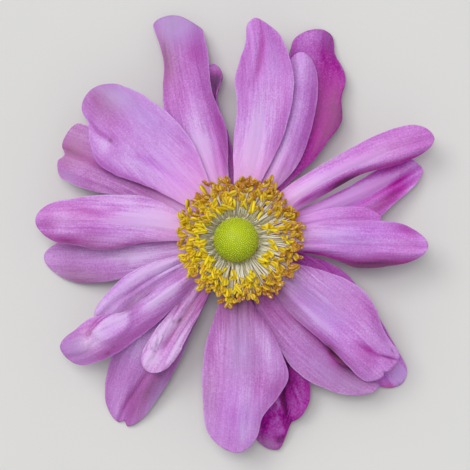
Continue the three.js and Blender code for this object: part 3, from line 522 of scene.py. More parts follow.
            (33, 60, 8, 50, 60), (38, 70, 10, 40, 35), (40, 70, 20, 30, 40), (50, -85, 10, 20, 35),
            (50, -60, 8, 20, 40), (50, 60, 12, 35, 35), (52, 12, 20, 12, 40), (55, 85, 25, 15, 35),
            (60, 90, 20, 15, 35), (74, 0, 6, 18, 50), (86, 10, 2.5, 35, 25),
        ),
        pale=(
            (60, 75, 25, 15, 70), (62, -25, 20, 20, 60), (63, -35, 8, 20, 30), (70, -60, 20, 20, 90),
            (87, -75, 4, 25, 50), (87, -5, 10, 35, 110), (90, -50, 5, 20, 120),
        ),
        pink=((50, 0, 35, 30, 40),),
        grey=((48, 20, 20, 60, 100),),
        brown=(
            (45, -30, 1.2, 6, 40), (56, -11, 2.5, 12, 90), (59, -40, 1.2, 8, 70), (60, 55, 15, 3, 40),
            (66, 12, 12, 3, 50), (78, -30, 7, 3.5, 60, 150), (80, -42, 1, 5, 60), (84, -55, 1.2, 5, 70),
            (85, -30, 0.8, 10, 70, 20), (88, -20, 2, 6, 40),
        ),
    ),
    "tepal_lower_right_under": dict(
        layer=1, slot="tepal_mid", base=310, tip=(24.3, -25.2), bow=-2.8, round=0.16, cup=0.1,
        left=(2.9, 4.2, 4.3, 3.5, 2), right=(3, 3.9, 5.4, 4.4, 2.4),
        folds=(
            Fold(0.35, 0.25, -0.5, 0.3, 1), Fold(-0.5, 0.3, 0.35, 0.2, 1.2),
        ),
        depth=0.5, blueness=0, vividness=-0.16,
        deep=(
            (20, 0, 12, 70, 50), (25, -80, 8, 30, 40), (25, -40, 6, 30, 30), (33, -40, 7, 50, 35),
            (35, 0, 6, 40, 25), (45, -45, 25, 30, 35), (50, 50, 30, 35, 90), (75, 0, 12, 60, 25),
            (75, 40, 13, 28, 160), (77, 5, 7, 25, 55), (80, 40, 10, 30, 30), (83, 0, 8, 35, 45),
            (84, -10, 12, 60, 60),
        ),
        pale=((72, 0, 10, 20, 60),),
        pink=((75, 20, 6, 20, 60),),
        blue=((75, -40, 20, 40, 40),),
        vivid=((55, -50, 15, 50, 60), (75, 20, 10, 30, 80)),
        grey=((87, 0, 8, 80, 80),),
        brown=((71, 32, 6, 16, 100), (72, 28, 7, 12, 15)),
    ),
    "tepal_right_small": dict(
        layer=1, slot="tepal_mid", base=10, tip=(24.7, 3.6), bow=0.5, round=0.14, cup=-0.1,
        left=(1.3, 1.9, 2.5, 2.3, 1.4), right=(1.2, 1.9, 2.4, 2.1, 1.4),
        folds=(
            Fold(0.2, 0.15, -0.25, 0.1, 0.7),
        ),
        depth=0.24, blueness=-0.3, vividness=0.08,
        deep=((50, 50, 30, 10, 40), (75, 20, 15, 50, 15)),
        pale=(
            (40, 30, 20, 50, 80), (45, 40, 7, 30, 35), (45, 40, 8, 30, 30), (50, 60, 12, 40, 35),
            (60, 50, 20, 50, 45),
        ),
        vivid=((50, 60, 15, 40, 80),),
    ),
    "tepal_top_left_curled": dict(
        layer=2, slot="tepal_deep", base=97, tip=(-3.9, 30.1), bow=0.6, round=0.1, cup=0.5, tip_bend=0.5,
        left=(0.8, 0.9, 1.1, 1.4, 1.8, 2.1, 2.4, 2.6, 2.4, 2.2),
        right=(1, 1.3, 1.7, 2, 1.7, 1.2, 0.5, 0.3, 1.4, 1.5),
        folds=(
            Fold(-0.2, 0.4, -0.5, 0.5, 0.85),
        ),
        depth=1.05, blueness=0.1, vividness=-0.1, mottle=0.8,
        deep=((45, -80, 12, 30, 60), (85, -40, 12, 40, 40), (88, -40, 4, 80, 60)),
        pale=((97.5, -20, 3.5, 120, 160),),
        vivid=((45, -80, 12, 30, 150),),
    ),
    "tepal_top_back": dict(
        layer=2, slot="tepal_deep", rests=True, base=62, tip=(14.3, 36.2), bow=-3.2, round=0.08, cup=0.1,
        left=(2.6, 3.9, 4.7, 5, 4.3), right=(1, 1.6, 2.6, 3.95, 5, 6, 5.05, 5.1, 2.8, 3),
        ripple=dict(high=0.35, waves=3.4, phase=2.2),
        folds=(
            Fold(-0.35, 0.2, -0.4, 0.4, 1.2), Fold(0.2, 0.25, 0.3, 0.6, 1.2),
        ),
        depth=0.9, blueness=0.04, vividness=0.02, mottle=1,
        deep=((62, -85, 14, 25, 50), (65, -80, 25, 30, 60), (87, -85, 7, 30, 20), (97, -65, 5, 30, 90)),
        pale=(
            (76, -85, 10, 25, 70), (87, 5, 8, 30, 60), (88, 60, 10, 30, 70), (93, 60, 6, 40, 40),
            (98, 10, 5, 100, 100),
        ),
        pink=((50, -80, 20, 30, 40), (55, -60, 15, 50, 30), (66, -20, 20, 40, 50), (72, -80, 10, 25, 40)),
        blue=((97, -40, 5, 60, 20),),
        vivid=((50, -50, 15, 40, 60),),
    ),
    "tepal_left_under": dict(
        layer=2, slot="tepal_mid", rests=True, base=190, tip=(-33, -2.9), bow=0.7, round=0.16, cup=0.2,
        left=(1.2, 2.5, 4.2, 4.3, 2.8), right=(1.8, 3, 3.6, 3.4, 2.4),
        folds=(
            Fold(0.3, 0.3, 0.3, 0.3, 1.2),
        ),
        depth=0.34, blueness=0.05, vividness=-0.14,
        deep=(
            (35, 80, 15, 30, 40), (60, -60, 40, 25, 70), (62, 60, 12, 40, 40), (76, 95, 16, 30, 70),
            (78, 40, 12, 30, 30), (85, 60, 10, 40, 40),
        ),
        pale=((38, 0, 12, 100, 70), (50, 20, 16, 50, 60), (52, 0, 10, 30, 30)),
        vivid=((65, 40, 15, 30, 70),),
        grey=((80, 80, 16, 40, 160),),
        brown=((52, 35, 2, 20, 25), (80, 100, 15, 15, 40)),
    ),
    "tepal_bottom_left_notched": dict(
        layer=2, slot="tepal_pale", rests=True, base=240, tip=(-19, -32), bow=-2.5, round=0.13, cup=0,
        left=(2.6, 3.9, 4.6, 3.9, 2.4), right=(1.6, 3.5, 5.8, 5.6, 3.7),
        notch=dict(at=-0.12, wide=0.14, deep=0.025),
        folds=(
            Fold(1.5, 0.1, -0.5, 0.55, 1.2, drift=-1.9), Fold(-0.4, 0.35, 0.5, 0.3, 1.2),
            Fold(0.4, 0.3, 0.3, 0.5, 1.2),
        ),
        depth=0.66, blueness=0.1, vividness=-0.08,
        deep=(
            (75, 90, 20, 40, 80), (78, 40, 8, 25, 35), (80, 35, 20, 30, 65, -100), (80, 95, 12, 20, 40),
            (82, -6, 12, 7, 80, -190), (90, 0, 8, 30, 40),
        ),
        pale=((60, -45, 9, 35, 130), (82, -60, 20, 30, 40)),
        blue=((85, 90, 20, 20, 50),),
        grey=((80, 50, 20, 50, 100),),
    ),
    "tepal_bottom_wrinkled": dict(
        layer=2, slot="tepal_deep", base=284, tip=(6.1, -35.9), bow=2.7, round=0.09, cup=0.1,
        left=(1, 1.7, 2.6, 3.8, 5, 5.7, 6, 6, 5.3, 4), right=(2.5, 4, 4.3, 3.9, 3.3),
        notch=dict(at=0.5, wide=0.1, beyond=1.2, deep=0.135, shoulder=0.13),
        ripple=dict(high=0.4, waves=4.2, phase=0.9),
        folds=(
            Fold(-0.45, 0.09, -0.36, 0.45, 1.2, drift=0.87), Fold(1.2, 0.08, -0.35, 0.55, 0.8, drift=-1.1),
        ),
        pads=(
            dict(along=0.7, across=3.6, length=0.15, width=1.9, high=0.7, pale=0.1, line=0.7, side=-1),
            dict(along=0.92, across=0.4, length=0.09, width=2.1, high=0.45, pale=0.1, line=0.2),
            dict(along=0.75, across=0.2, length=0.06, width=0.3, high=0.3, pale=0.2, line=0.3, drift=6),
        ),
        depth=0.9, blueness=-0.1, vividness=0, mottle=0.8,
        deep=(
            (62, 20, 10, 60, 50), (65, 42, 5, 10, 30), (67, 62, 7, 4, 50, 150), (70, 90, 10, 12, 50),
            (72, 55, 6, 3, 70, 200), (78, 23, 14, 6, 65, 87), (86, -50, 8, 30, 50), (87, 40, 1.4, 12, 90),
            (93, 35, 1.2, 15, 90), (95, 20, 2, 15, 110, 100),
        ),
        pale=(
            (68, 75, 8, 25, 60), (70, 16, 3, 3, 100, 50), (72, 62, 6, 4, 60, 200), (75, 4, 5, 4, 100),
            (78, 40, 5, 8, 50), (79, 15, 3, 2.5, 180, 60), (80, 24, 2, 3, 100, -100), (84, 6, 2, 4, 100),
            (85, -10, 8, 50, 50), (85, 30, 2, 5, 140), (90, 27, 2.5, 12, 100),
        ),
        blue=((98, -30, 4, 60, 30),),
        vivid=((76, 50, 10, 40, 20), (87, -20, 10, 50, 60)),
        grey=((99, -30, 5, 70, 150),),
        brown=((75, 20, 8, 5, 50, 87),),
    ),
    "tepal_lower_right_back": dict(
        layer=2, slot="tepal_deep", rests=True, base=332, tip=(28.2, -24.9), bow=2.7, round=0.09, cup=0.3,
        left=(3.3, 5, 4, 2.9, 2.6), right=(2.7, 3.9, 4.2, 3.9, 3.6),
        folds=(
            Fold(-0.1, 0.3, 0.35, 0.7, 1.2),
        ),
        depth=0.62, blueness=-0.1, vividness=0.04,
        deep=((25, 95, 15, 25, 20), (98.5, -60, 2, 25, 80)),
        pale=((93, 50, 6, 60, 40), (94, 40, 6, 40, 80), (95, 10, 10, 100, 140)),
        pink=((98.5, -55, 3, 25, 150),),
        blue=((95, 10, 8, 80, 25),),
        vivid=((93, 20, 8, 80, 120),),
        brown=((100, 0, 0.8, 90, 50),),
    ),
    "tepal_right_flared": dict(
        layer=2, slot="tepal_mid", base=20, tip=(32, 12.2), bow=-1.4, round=0.1, cup=0.1,
        left=(1.8, 2.5, 3.1, 3.7, 3.4), right=(1, 1.9, 3.9, 2.6, 1.2),
        folds=(
            Fold(-0.38, 0.16, -0.6, 0.35, 1.2, drift=0.6), Fold(0.5, 0.3, 0.35, 0.2, 1.2),
        ),
        depth=0.16, blueness=-0.3, vividness=0.16,
        deep=(
            (50, 100, 30, 14, 70), (70, -70, 14, 40, 60), (75, 0, 18, 14, 90, 60), (78, -50, 12, 30, 80),
            (78, 75, 16, 40, 70), (80, -50, 12, 35, 60), (82, -40, 10, 40, 60), (84, 0, 6, 20, 60),
            (86, 10, 8, 30, 50), (90, 75, 12, 30, 110),
        ),
        pale=(
            (45, 40, 20, 30, 60), (48, 50, 10, 40, 50), (55, 30, 20, 35, 60), (62, 25, 25, 50, 60),
            (62, 40, 25, 40, 55), (70, 45, 20, 30, 80),
        ),
        pink=((75, 30, 20, 40, 30),),
        grey=((65, -50, 12, 30, 110), (75, -60, 12, 30, 100)),
    ),
}


def srgb(red, green, blue):
    """A colour given as it looks on a screen, 0 to 255, as the shader's linear values."""
    channels = []
    for value in (red, green, blue):
        value /= 255
        channels.append(value / 12.92 if value <= 0.04045 else ((value + 0.055) / 1.055) ** 2.4)
    return (*channels, 1)


# Petal colours by depth: (depth where the blend starts, where it ends, colour)
PALE_LILAC = srgb(230, 188, 252)
DEPTH_COLOURS = (
    (0.0, 0.3, srgb(208, 140, 222)),
    (0.3, 0.6, srgb(184, 98, 188)),
    (0.6, 1.0, srgb(170, 34, 158)),
    (1.0, 1.4, srgb(102, 24, 94)),
)
PINK = srgb(208, 126, 188)
BLUE_LILAC = srgb(186, 154, 222)
# Brown for brown marks, and for painted shade on the feet under the stamens and at some overlaps.
BROWN_AND_SHADE = srgb(92, 44, 56)
# Pale foot colour: the petals' own paler base, and painted light on the upper petals' feet.
PALE_FOOT_AND_LIGHT = srgb(250, 190, 255)

# What each kind of tint changes, and by how much at full strength
# deep, grey and brown tints paint shade as well as colour, and pale tints paint light as well as colour.
TINT_EFFECTS = {
    "deep": ("depth", 0.5), "pale": ("depth", -0.35), "pink": ("blueness", -1), "blue": ("blueness", 1),
    "brown": ("brown_and_shade", 1), "vivid": ("vividness", 0.15), "grey": ("vividness", -0.15),
}


# Shader helpers

class Shader:
    """Nodes of one material or node group, added one after another."""

    def __init__(self, tree):
        self.tree = tree
        self.surface = tree.nodes.get("Principled BSDF")

    def feed(self, node, socket, value):
        """Links what another node puts out to a socket, or sets a plain value there."""
        if isinstance(value, bpy.types.NodeSocket):
            self.tree.links.new(value, node.inputs[socket])
        else:
            node.inputs[socket].default_value = value

    def node(self, kind, inputs=None, **settings):
        node = self.tree.nodes.new(kind)
        for name, value in settings.items():
            setattr(node, name, value)
        for socket, value in (inputs or {}).items():
            self.feed(node, socket, value)
        return node

    def math(self, operation, first, second, clamp=False):
        node = self.node("ShaderNodeMath", {0: first, 1: second}, operation=operation, use_clamp=clamp)
        return node.outputs[0]

    def add(self, first, second):
        return self.math("ADD", first, second)

    def times(self, first, second, clamp=False):
        return self.math("MULTIPLY", first, second, clamp)

    def blend(self, share, first, second):
        return self.node("ShaderNodeMix", {0: share, 6: first, 7: second}, data_type="RGBA").outputs[2]

    def range(self, value, low, high, to_low=0.0, to_high=1.0):
        return self.node("ShaderNodeMapRange", {
            "Value": value, "From Min": low, "From Max": high, "To Min": to_low, "To Max": to_high,
        }).outputs[0]

    def stretched(self, vector, scale):
        return self.node("ShaderNodeMapping", {"Vector": vector, "Scale": scale}).outputs[0]

    def noise(self, vector, scale, detail=2.0, roughness=0.5):
        return self.node("ShaderNodeTexNoise", {
            "Vector": vector, "Scale": scale, "Detail": detail, "Roughness": roughness,
        }).outputs["Fac"]

    def attribute(self, name, output="Fac"):
        return self.node("ShaderNodeAttribute", attribute_name=name).outputs[output]

    def place(self):
        return self.node("ShaderNodeTexCoord").outputs["Object"]

    def paint(self, colour):
        self.feed(self.surface, "Base Color", colour)

    def bump(self, height, strength, distance):
        bump = self.node("ShaderNodeBump", {"Height": height, "Strength": strength, "Distance": distance})
        self.feed(self.surface, "Normal", bump.outputs[0])


def new_group(name, inputs, outputs):
    """A shader node group with named float and vector sockets."""
    tree = bpy.data.node_groups.new(name, "ShaderNodeTree")
    for direction, sockets in (("INPUT", inputs), ("OUTPUT", outputs)):
        for socket, kind in sockets.items():
            tree.interface.new_socket(socket, in_out=direction, socket_type="NodeSocket" + kind)
    shader = Shader(tree)
    return tree, shader, shader.node("NodeGroupInput"), shader.node("NodeGroupOutput")


def vein_group():
    """Fine veins that run along a petal. Grain is its place across and along, in millimetres."""
    tree, shader, given, result = new_group(
        "petal veins", {"Grain": "Vector", "Spacing": "Float"},
        {"Vein": "Float", "Height": "Float", "Fleck": "Float"},
    )
    density = shader.math("DIVIDE", 1.0, given.outputs["Spacing"])
    grain = shader.node(
        "ShaderNodeVectorMath", {0: given.outputs["Grain"], "Scale": density}, operation="SCALE",
    ).outputs[0]
    broad = shader.noise(shader.stretched(grain, (1.0, 0.05, 1.0)), 0.9, 1.5)
    fine = shader.noise(shader.stretched(grain, (1.0, 0.04, 1.0)), 2.6, 2.0)
    vein = shader.range(shader.add(shader.times(broad, 0.45), shader.times(fine, 0.55)), 0.36, 0.64)
    fleck = shader.noise(given.outputs["Grain"], 3.2, 3.0, 0.65)
    shader.feed(result, "Vein", vein)
    shader.feed(result, "Fleck", fleck)
    shader.feed(result, "Height", shader.add(shader.times(vein, 0.7), shader.times(fleck, 0.3)))
    return tree


def new_material(name, roughness, **constants):
    """A material with its surface shader, and the helper that adds nodes to it."""
    material = bpy.data.materials.new(name)
    material.use_nodes = True
    shader = Shader(material.node_tree)
    for socket, value in {"Roughness": roughness, **constants}.items():
        shader.feed(shader.surface, socket.replace("_", " "), value)
    return material, shader


def petal_material(name, veins, extra_depth):
    """The front or the back of a petal: colours from its tones and tints, painted light and shade among them,
    with veins, flecks and sparkle.
    """
    material, shader = new_material(
        name, 0.5, Sheen_Weight=0.03, Sheen_Roughness=0.45, Specular_IOR_Level=0.14, Subsurface_Weight=0.4,
        Subsurface_Scale=0.001, Subsurface_Radius=(1, 0.4, 0.85),
    )
    grain = shader.attribute("grain", "Vector")
    lines = shader.node("ShaderNodeGroup", {"Grain": grain, "Spacing": 0.42}, node_tree=veins)
    vein, fleck = lines.outputs["Vein"], lines.outputs["Fleck"]
    place = shader.place()
    cloud = shader.noise(place, 150.0, 2.0)
    sparkle = shader.noise(place, 3600.0, 2.0, 0.6)

    depth = shader.add(shader.attribute("depth"), extra_depth)
    mottle = shader.attribute("mottle")
    vein_share = shader.range(shader.attribute("lined"), 0.0, 1.0, 0.2, 0.5)
    vein_share = shader.times(vein_share, shader.math("SUBTRACT", 1.0, mottle))
    fleck_share = shader.range(mottle, 0.0, 1.0, 0.4, 1.1)
    for pattern, share in ((fleck, fleck_share), (vein, vein_share), (cloud, 0.45), (sparkle, 0.6)):
        depth = shader.add(depth, shader.times(shader.math("SUBTRACT", pattern, 0.5), share))
    colour = PALE_LILAC
    for low, high, deeper in DEPTH_COLOURS:
        colour = shader.blend(shader.range(depth, low, high), colour, deeper)
    blueness = shader.attribute("blueness")
    colour = shader.blend(shader.range(blueness, 0.0, 1.0, 0.0, 0.75), colour, BLUE_LILAC)
    colour = shader.blend(shader.range(blueness, 0.0, -1.0, 0.0, 0.8), colour, PINK)
    # Pale foot: the petal's own paler base, and painted light on the upper petals' feet.
    colour = shader.blend(shader.attribute("foot"), colour, PALE_FOOT_AND_LIGHT)
    strength = shader.add(shader.attribute("vividness"), 1.0)
    colour = shader.node("ShaderNodeHueSaturation", {"Saturation": strength, "Color": colour}).outputs[0]
    # Brown marks, and painted shade: darker feet under the stamens and shade at some overlaps.
    shader.paint(shader.blend(shader.times(shader.attribute("brown_and_shade"), 0.85, True), colour, BROWN_AND_SHADE))
    shader.feed(shader.surface, "Roughness", shader.range(fleck, 0.3, 0.7, 0.42, 0.6))
    shader.bump(lines.outputs["Height"], 0.35, 0.00012)
    return material


def head_material():
    """Yellow-green carpels with painted light: lighter towards the top and the upper side, darker towards the
    rim of the dome, and painted shade in the gaps.
    """
    material, shader = new_material(
        "green head", 0.42, Specular_IOR_Level=0.22, Subsurface_Weight=0.1, Subsurface_Scale=0.0005,
    )
    grain = shader.noise(shader.place(), 2600.0, 2.0)
    head_light = shader.attribute("head_light")
    colour = shader.blend(head_light, srgb(134, 144, 28), srgb(220, 236, 34))
    colour = shader.blend(shader.range(grain, 0.35, 0.7, 0.0, 0.4), colour, srgb(232, 242, 96))
    # Painted shade in the gaps between the carpels, darker towards the rim.
    gap_shade_share = shader.times(shader.attribute("gap_shade"), shader.range(head_light, 0.3, 1.0, 0.9, 0.5))
    shader.paint(shader.blend(gap_shade_share, colour, srgb(104, 122, 8)))
    shader.bump(grain, 0.3, 0.00004)
    return material


def anther_material():
    """Powdery golden yellow, orange-brown where an anther has shed its pollen, with painted shade in the
    groove.
    """
    material, shader = new_material(
        "anthers", 0.55, Specular_IOR_Level=0.3, Subsurface_Weight=0.08, Subsurface_Scale=0.0004,
    )
    place = shader.place()
    powder = shader.noise(place, 5200.0, 3.0, 0.7)
    ripe = shader.attribute("ripe")
    colour = shader.blend(ripe, srgb(255, 232, 16), srgb(184, 106, 14))
    colour = shader.blend(shader.range(powder, 0.4, 0.75, 0.0, 0.5), colour, srgb(255, 236, 96))
    speck = shader.times(shader.range(shader.noise(place, 2600.0, 2.0), 0.58, 0.66), ripe)
    colour = shader.blend(speck, colour, srgb(255, 240, 196))
    # Painted shade in the groove between the lobes.
    shader.paint(shader.blend(shader.times(shader.attribute("groove"), 0.7), colour, srgb(160, 88, 8)))
    shader.bump(powder, 0.4, 0.00004)
    return material


def filament_material():
    """Cream-white threads, yellower at the foot and near the anther, with painted shade making the lower rows
    darker and yellower.
    """
    material, shader = new_material("filaments", 0.4, Specular_IOR_Level=0.4)
    streak = shader.noise(shader.place(), 1500.0, 2.0)
    along = shader.attribute("along")
    colour = shader.blend(shader.range(along, 0.0, 0.5), srgb(255, 250, 220), srgb(255, 253, 244))
    # Painted shade: the lower rows, under the upper ones, are darker and yellower.
    colour = shader.blend(shader.attribute("lifted"), srgb(240, 231, 192), colour)
    colour = shader.blend(shader.range(along, 0.85, 1.0, 0.0, 0.5), colour, srgb(236, 206, 130))
    shader.paint(shader.blend(shader.range(streak, 0.4, 0.8, 0.0, 0.2), colour, srgb(238, 230, 200)))
    return material


def stalk_material():
    """Downy green skin with lighter streaks, and a pale cut end."""
    material, shader = new_material("stalk", 0.55, Specular_IOR_Level=0.3)
    place = shader.place()
    streak = shader.noise(shader.stretched(place, (1.0, 1.0, 0.12)), 2400.0, 2.0)
    blotch = shader.noise(place, 420.0, 3.0)
    colour = shader.blend(shader.range(streak, 0.35, 0.7), srgb(98, 126, 58), srgb(140, 160, 86))
    colour = shader.blend(shader.range(blotch, 0.5, 0.8, 0.0, 0.6), colour, srgb(128, 92, 84))
    shader.paint(shader.blend(shader.attribute("cut"), colour, srgb(206, 210, 150)))
    shader.bump(streak, 0.4, 0.00006)
    return material


def plain_material(name, roughness, noise_scale, first, second, **constants):
    """One colour that varies slightly from place to place."""
    material, shader = new_material(name, roughness, **constants)
    shader.paint(shader.blend(shader.noise(shader.place(), noise_scale), first, second))
    return material


# Shapes

def placed(point):
    """A point given in millimetres from the flower's axis, in metres."""
    return AXIS + Vector(point) * MM


def scatter(luck, most):
    return luck.uniform(-most, most)


def smooth_step(low, high, x):
    share = np.clip((x - low) / (high - low), 0, 1)
    return share * share * (3 - 2 * share)


def bell(x, width):
    return np.exp(-(x * x) / (width * width))


def through(values, share):
    """A smooth curve through values that are evenly spaced from 0 to 1."""
    last = len(values) - 1
    place = np.clip(share, 0, 1) * last
    i = np.minimum(place.astype(int), last - 1)
    u = place - i
    padded = np.array([2 * values[0] - values[1], *values, 2 * values[-1] - values[-2]], float)
    before, here, after, beyond = (padded[i + step] for step in range(4))
    slope_in = (after - before) / 2
    slope_out = (beyond - here) / 2
    rise = after - here
    return (here + u * slope_in + u * u * (3 * rise - 2 * slope_in - slope_out)
            + u ** 3 * (slope_in + slope_out - 2 * rise))


def layer_height(layer, radius):
    out = radius - PETAL_BASE_RADIUS
    below = layer * (LAYER_STEP + LAYER_SPREAD * out)
    return TOP_LAYER_HEIGHT - below + ARCH_RISE * out - ARCH_FALL * out * out


def reach_at(petal, v):
    """How far along its length a petal reaches at a share v of its half width."""
    ellipse = 1 - petal["round"] * (1 - np.sqrt(np.maximum(0, 1 - v * v)))
    notch = petal.get("notch")
    if not notch:
        return ellipse
    beside = v - notch["at"]
    wide = np.where(beside > 0, notch.get("beyond", notch["wide"]), notch["wide"])
    slope = np.clip(beside / (1 - notch["at"]), 0, 1)
    shoulder = notch.get("shoulder", 0) * (1 - np.sqrt(1 - slope * slope))
    return ellipse - notch["deep"] * bell(beside, wide) - shoulder


def fold_at(fold, t, v):
    """How strong a fold is at each point, from 0 to 1."""
    begun = smooth_step(fold.start, fold.start + fold.fade, t)
    ended = smooth_step(fold.end, fold.end + fold.fade, t)
    return bell(v - (fold.at + fold.drift * t), fold.wide) * begun * (1 - ended)


def pad_place(pad, t, across):
    """Distance from a pad's middle along and across, as shares of its half size."""
    out = t - pad["along"]
    beside = (across - pad["across"] - pad.get("drift", 0) * out) / pad["width"]
    soft = PAD_SOFT_SIDE if "side" in pad else 1
    return out / pad["length"], np.where(beside * pad.get("side", 1) < 0, beside * soft, beside)


def relief_at(petal, t, v, across):
    """Rise of a petal's surface: v is a share of the half width, and across is the same in millimetres."""
    grown = smooth_step(0, RELIEF_GROWN_AT, t)
    z = petal["cup"] * v * v * grown
    roll = np.where(v > 0, petal.get("roll_left", 0), petal.get("roll_right", 0))
    z = z - roll * smooth_step(*ROLL_RANGE, np.abs(v)) * grown
    z = z + petal.get("tip_bend", 0) * smooth_step(TIP_BEND_FROM, 1, t)
    if "ripple" in petal:
        ripple = petal["ripple"]
        z = z + ripple["high"] * v * v * grown * np.sin(ripple["waves"] * math.pi * t + ripple["phase"] + v)
    for fold in petal["folds"]:
        z = z + fold.high * fold_at(fold, t, v)
    for pad in petal.get("pads", ()):
        far = np.hypot(*pad_place(pad, t, across))
        z = z + pad["high"] * (1 - smooth_step(PAD_FLAT_TO, PAD_EDGE, far))
    return z


def margin_wobble(luck, t, v):
    """Small uneven waves of a petal's outline, as a share of its half width."""
    wobble = np.zeros_like(t)
    for side in (1, -1):
        waves = sum(
            np.sin(2 * math.pi * (count * t + luck.random())) / math.sqrt(count) for count in MARGIN_WAVES
        )
        wobble = wobble + np.where(side * v > 0, waves, 0)
    return 1 + MARGIN_WOBBLE * wobble * smooth_step(*WOBBLE_RANGE, t)


def petal_points(petal, luck, s, q):
    """Middle surface of a petal in millimetres: s runs from foot to end, and q from right margin to left."""
    v = np.sin(q * math.pi / 2)
    t = s * reach_at(petal, v)
    angle = math.radians(petal["base"])
    foot = PETAL_BASE_RADIUS * np.array([math.cos(angle), math.sin(angle)])
    tip = np.array(petal["tip"], float)
    chord = tip - foot
    chord_left = np.array([-chord[1], chord[0]]) / np.linalg.norm(chord)
    bend = (foot + tip) / 2 + 2 * petal["bow"] * chord_left
    share = t[:, None]
    centre = (1 - share) ** 2 * foot + 2 * (1 - share) * share * bend + share ** 2 * tip
    tangent = (1 - share) * (bend - foot) + share * (tip - bend)
    tangent /= np.linalg.norm(tangent, axis=1)[:, None]
    left = np.stack([-tangent[:, 1], tangent[:, 0]], axis=1)
    half_width = np.where(
        v > 0,
        through((PETAL_BASE_HALF_WIDTH, *petal["left"]), t),
        through((PETAL_BASE_HALF_WIDTH, *petal["right"]), t),
    )
    across = v * half_width
    place = centre + left * (across * margin_wobble(luck, t, v))[:, None]
    radius = np.linalg.norm(place, axis=1)
    z = layer_height(petal["layer"], radius) + relief_at(petal, t, v, across)
    ribs = np.cos(2 * math.pi * across / RIB_SPACING + luck.random() * RIB_PHASES)
    z += RIB_HEIGHT * ribs * smooth_step(*RIBS_IN, t) * (1 - smooth_step(*RIBS_OUT, t))
    if petal.get("rests"):
        for _ in range(DROOP_PASSES):
            z -= (z.min() - PETAL_THICKNESS / 2) * smooth_step(DROOP_FROM, 1, s)
    grain = np.column_stack([across, t * np.linalg.norm(chord), np.zeros_like(t)])
    return np.column_stack([place, z]), t, v, grain, radius


def petal_tones(petal, t, v, across, radius):
    """What colours a petal's points: depth, blueness, vividness, brown marks with painted shade, veins,
    mottle and pale foot with painted light.
    """
    depth = np.full_like(t, petal["depth"] + DEPTH_SHIFT)
    # Painted light and shade from the relief: raised folds and pads paler, sunk folds deeper, and a painted
    # shadow line along a pad's crisp rim.
    for fold in petal["folds"]:
        depth -= FOLD_LIGHT_AND_SHADE * fold.high * fold_at(fold, t, v)
    for pad in petal.get("pads", ()):
        out, beside = pad_place(pad, t, across)
        far = np.hypot(out, beside)
        seen = smooth_step(*PAD_RIM_SHADE_RANGE, beside * pad["side"]) if "side" in pad else 1
        depth -= pad.get("pale", PAD_LIGHT) * (1 - smooth_step(PAD_FLAT_TO, 1, far))
        depth += pad.get("line", PAD_RIM_SHADE) * bell(far - PAD_RIM_SHADE_AT, PAD_RIM_SHADE_WIDTH) * seen
    tones = {
        "depth": depth,
        "blueness": np.full_like(t, petal["blueness"] + BLUE_SHIFT),
        "vividness": np.full_like(t, petal.get("vividness", 0)),
        "brown_and_shade": np.zeros_like(t),
        "mottle": np.full_like(t, petal.get("mottle", 0)),
        "lined": 1 - smooth_step(*VEINED_RANGE, radius),
    }
    for kind, (tone, most) in TINT_EFFECTS.items():
        for tint in petal.get(kind, ()):
            along, aside, length, width, strength, *drift = (value / 100 for value in tint)
            beside = v - aside - sum(drift) * (t - along)
            tones[tone] += most * strength * bell(t - along, length) * bell(beside, width)
    upper = smooth_step(*UPPER_RANGE, math.sin(math.radians(petal["base"])))
    # Painted shade on the feet round the stamens, reaching further out on the lower petals.
    shaded_feet = 1 - smooth_step(FOOT_SHADE_FROM, FOOT_SHADE_TO + FOOT_SHADE_UPPER * upper, radius)
    tones["brown_and_shade"] += FOOT_SHADE * shaded_feet
    # Pale foot: the petal's own paler base, and painted light that makes the upper petals' feet paler still.
    foot = FOOT_PALENESS + FOOT_LIGHT_UPPER * upper
    foot = foot * (1 - smooth_step(FOOT_FROM, FOOT_TO + FOOT_LIGHT_REACH * upper, radius))
    tones["foot"] = foot * (1 - np.clip((depth - FOOT_DEPTH_FROM) / FOOT_DEPTH_FADE, 0, 1))
    # Painted light along the thin margins: paler and bluer, where light shows through the edge.
    margin = smooth_step(*MARGIN_RANGE, np.abs(v)) * smooth_step(*MARGIN_GROWN, t)
    depth -= MARGIN_LIGHT * margin
    tones["blueness"] += MARGIN_LIGHT_BLUE * margin
    return tones


def store(mesh, name, values):
    attribute = mesh.attributes.new(name, "FLOAT", "POINT")
    attribute.data.foreach_set("value", np.asarray(values, np.float32))


def template_mesh(bm, name):
    mesh = bpy.data.meshes.new(name)
    bm.to_mesh(mesh)
    bm.free()
    return mesh


def put(name, data):
    """A new object in the scene."""
    item = bpy.data.objects.new(name, data)
    bpy.context.collection.objects.link(item)
    return item


def finish_piece(mesh, name, slot, *materials):
    """Puts a mesh in the scene as a piece of the flower."""
    for material in materials:
        mesh.materials.append(material)
    for polygon in mesh.polygons:
        polygon.use_smooth = True
    piece = put(name, mesh)
    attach(piece, "root")
    return piece


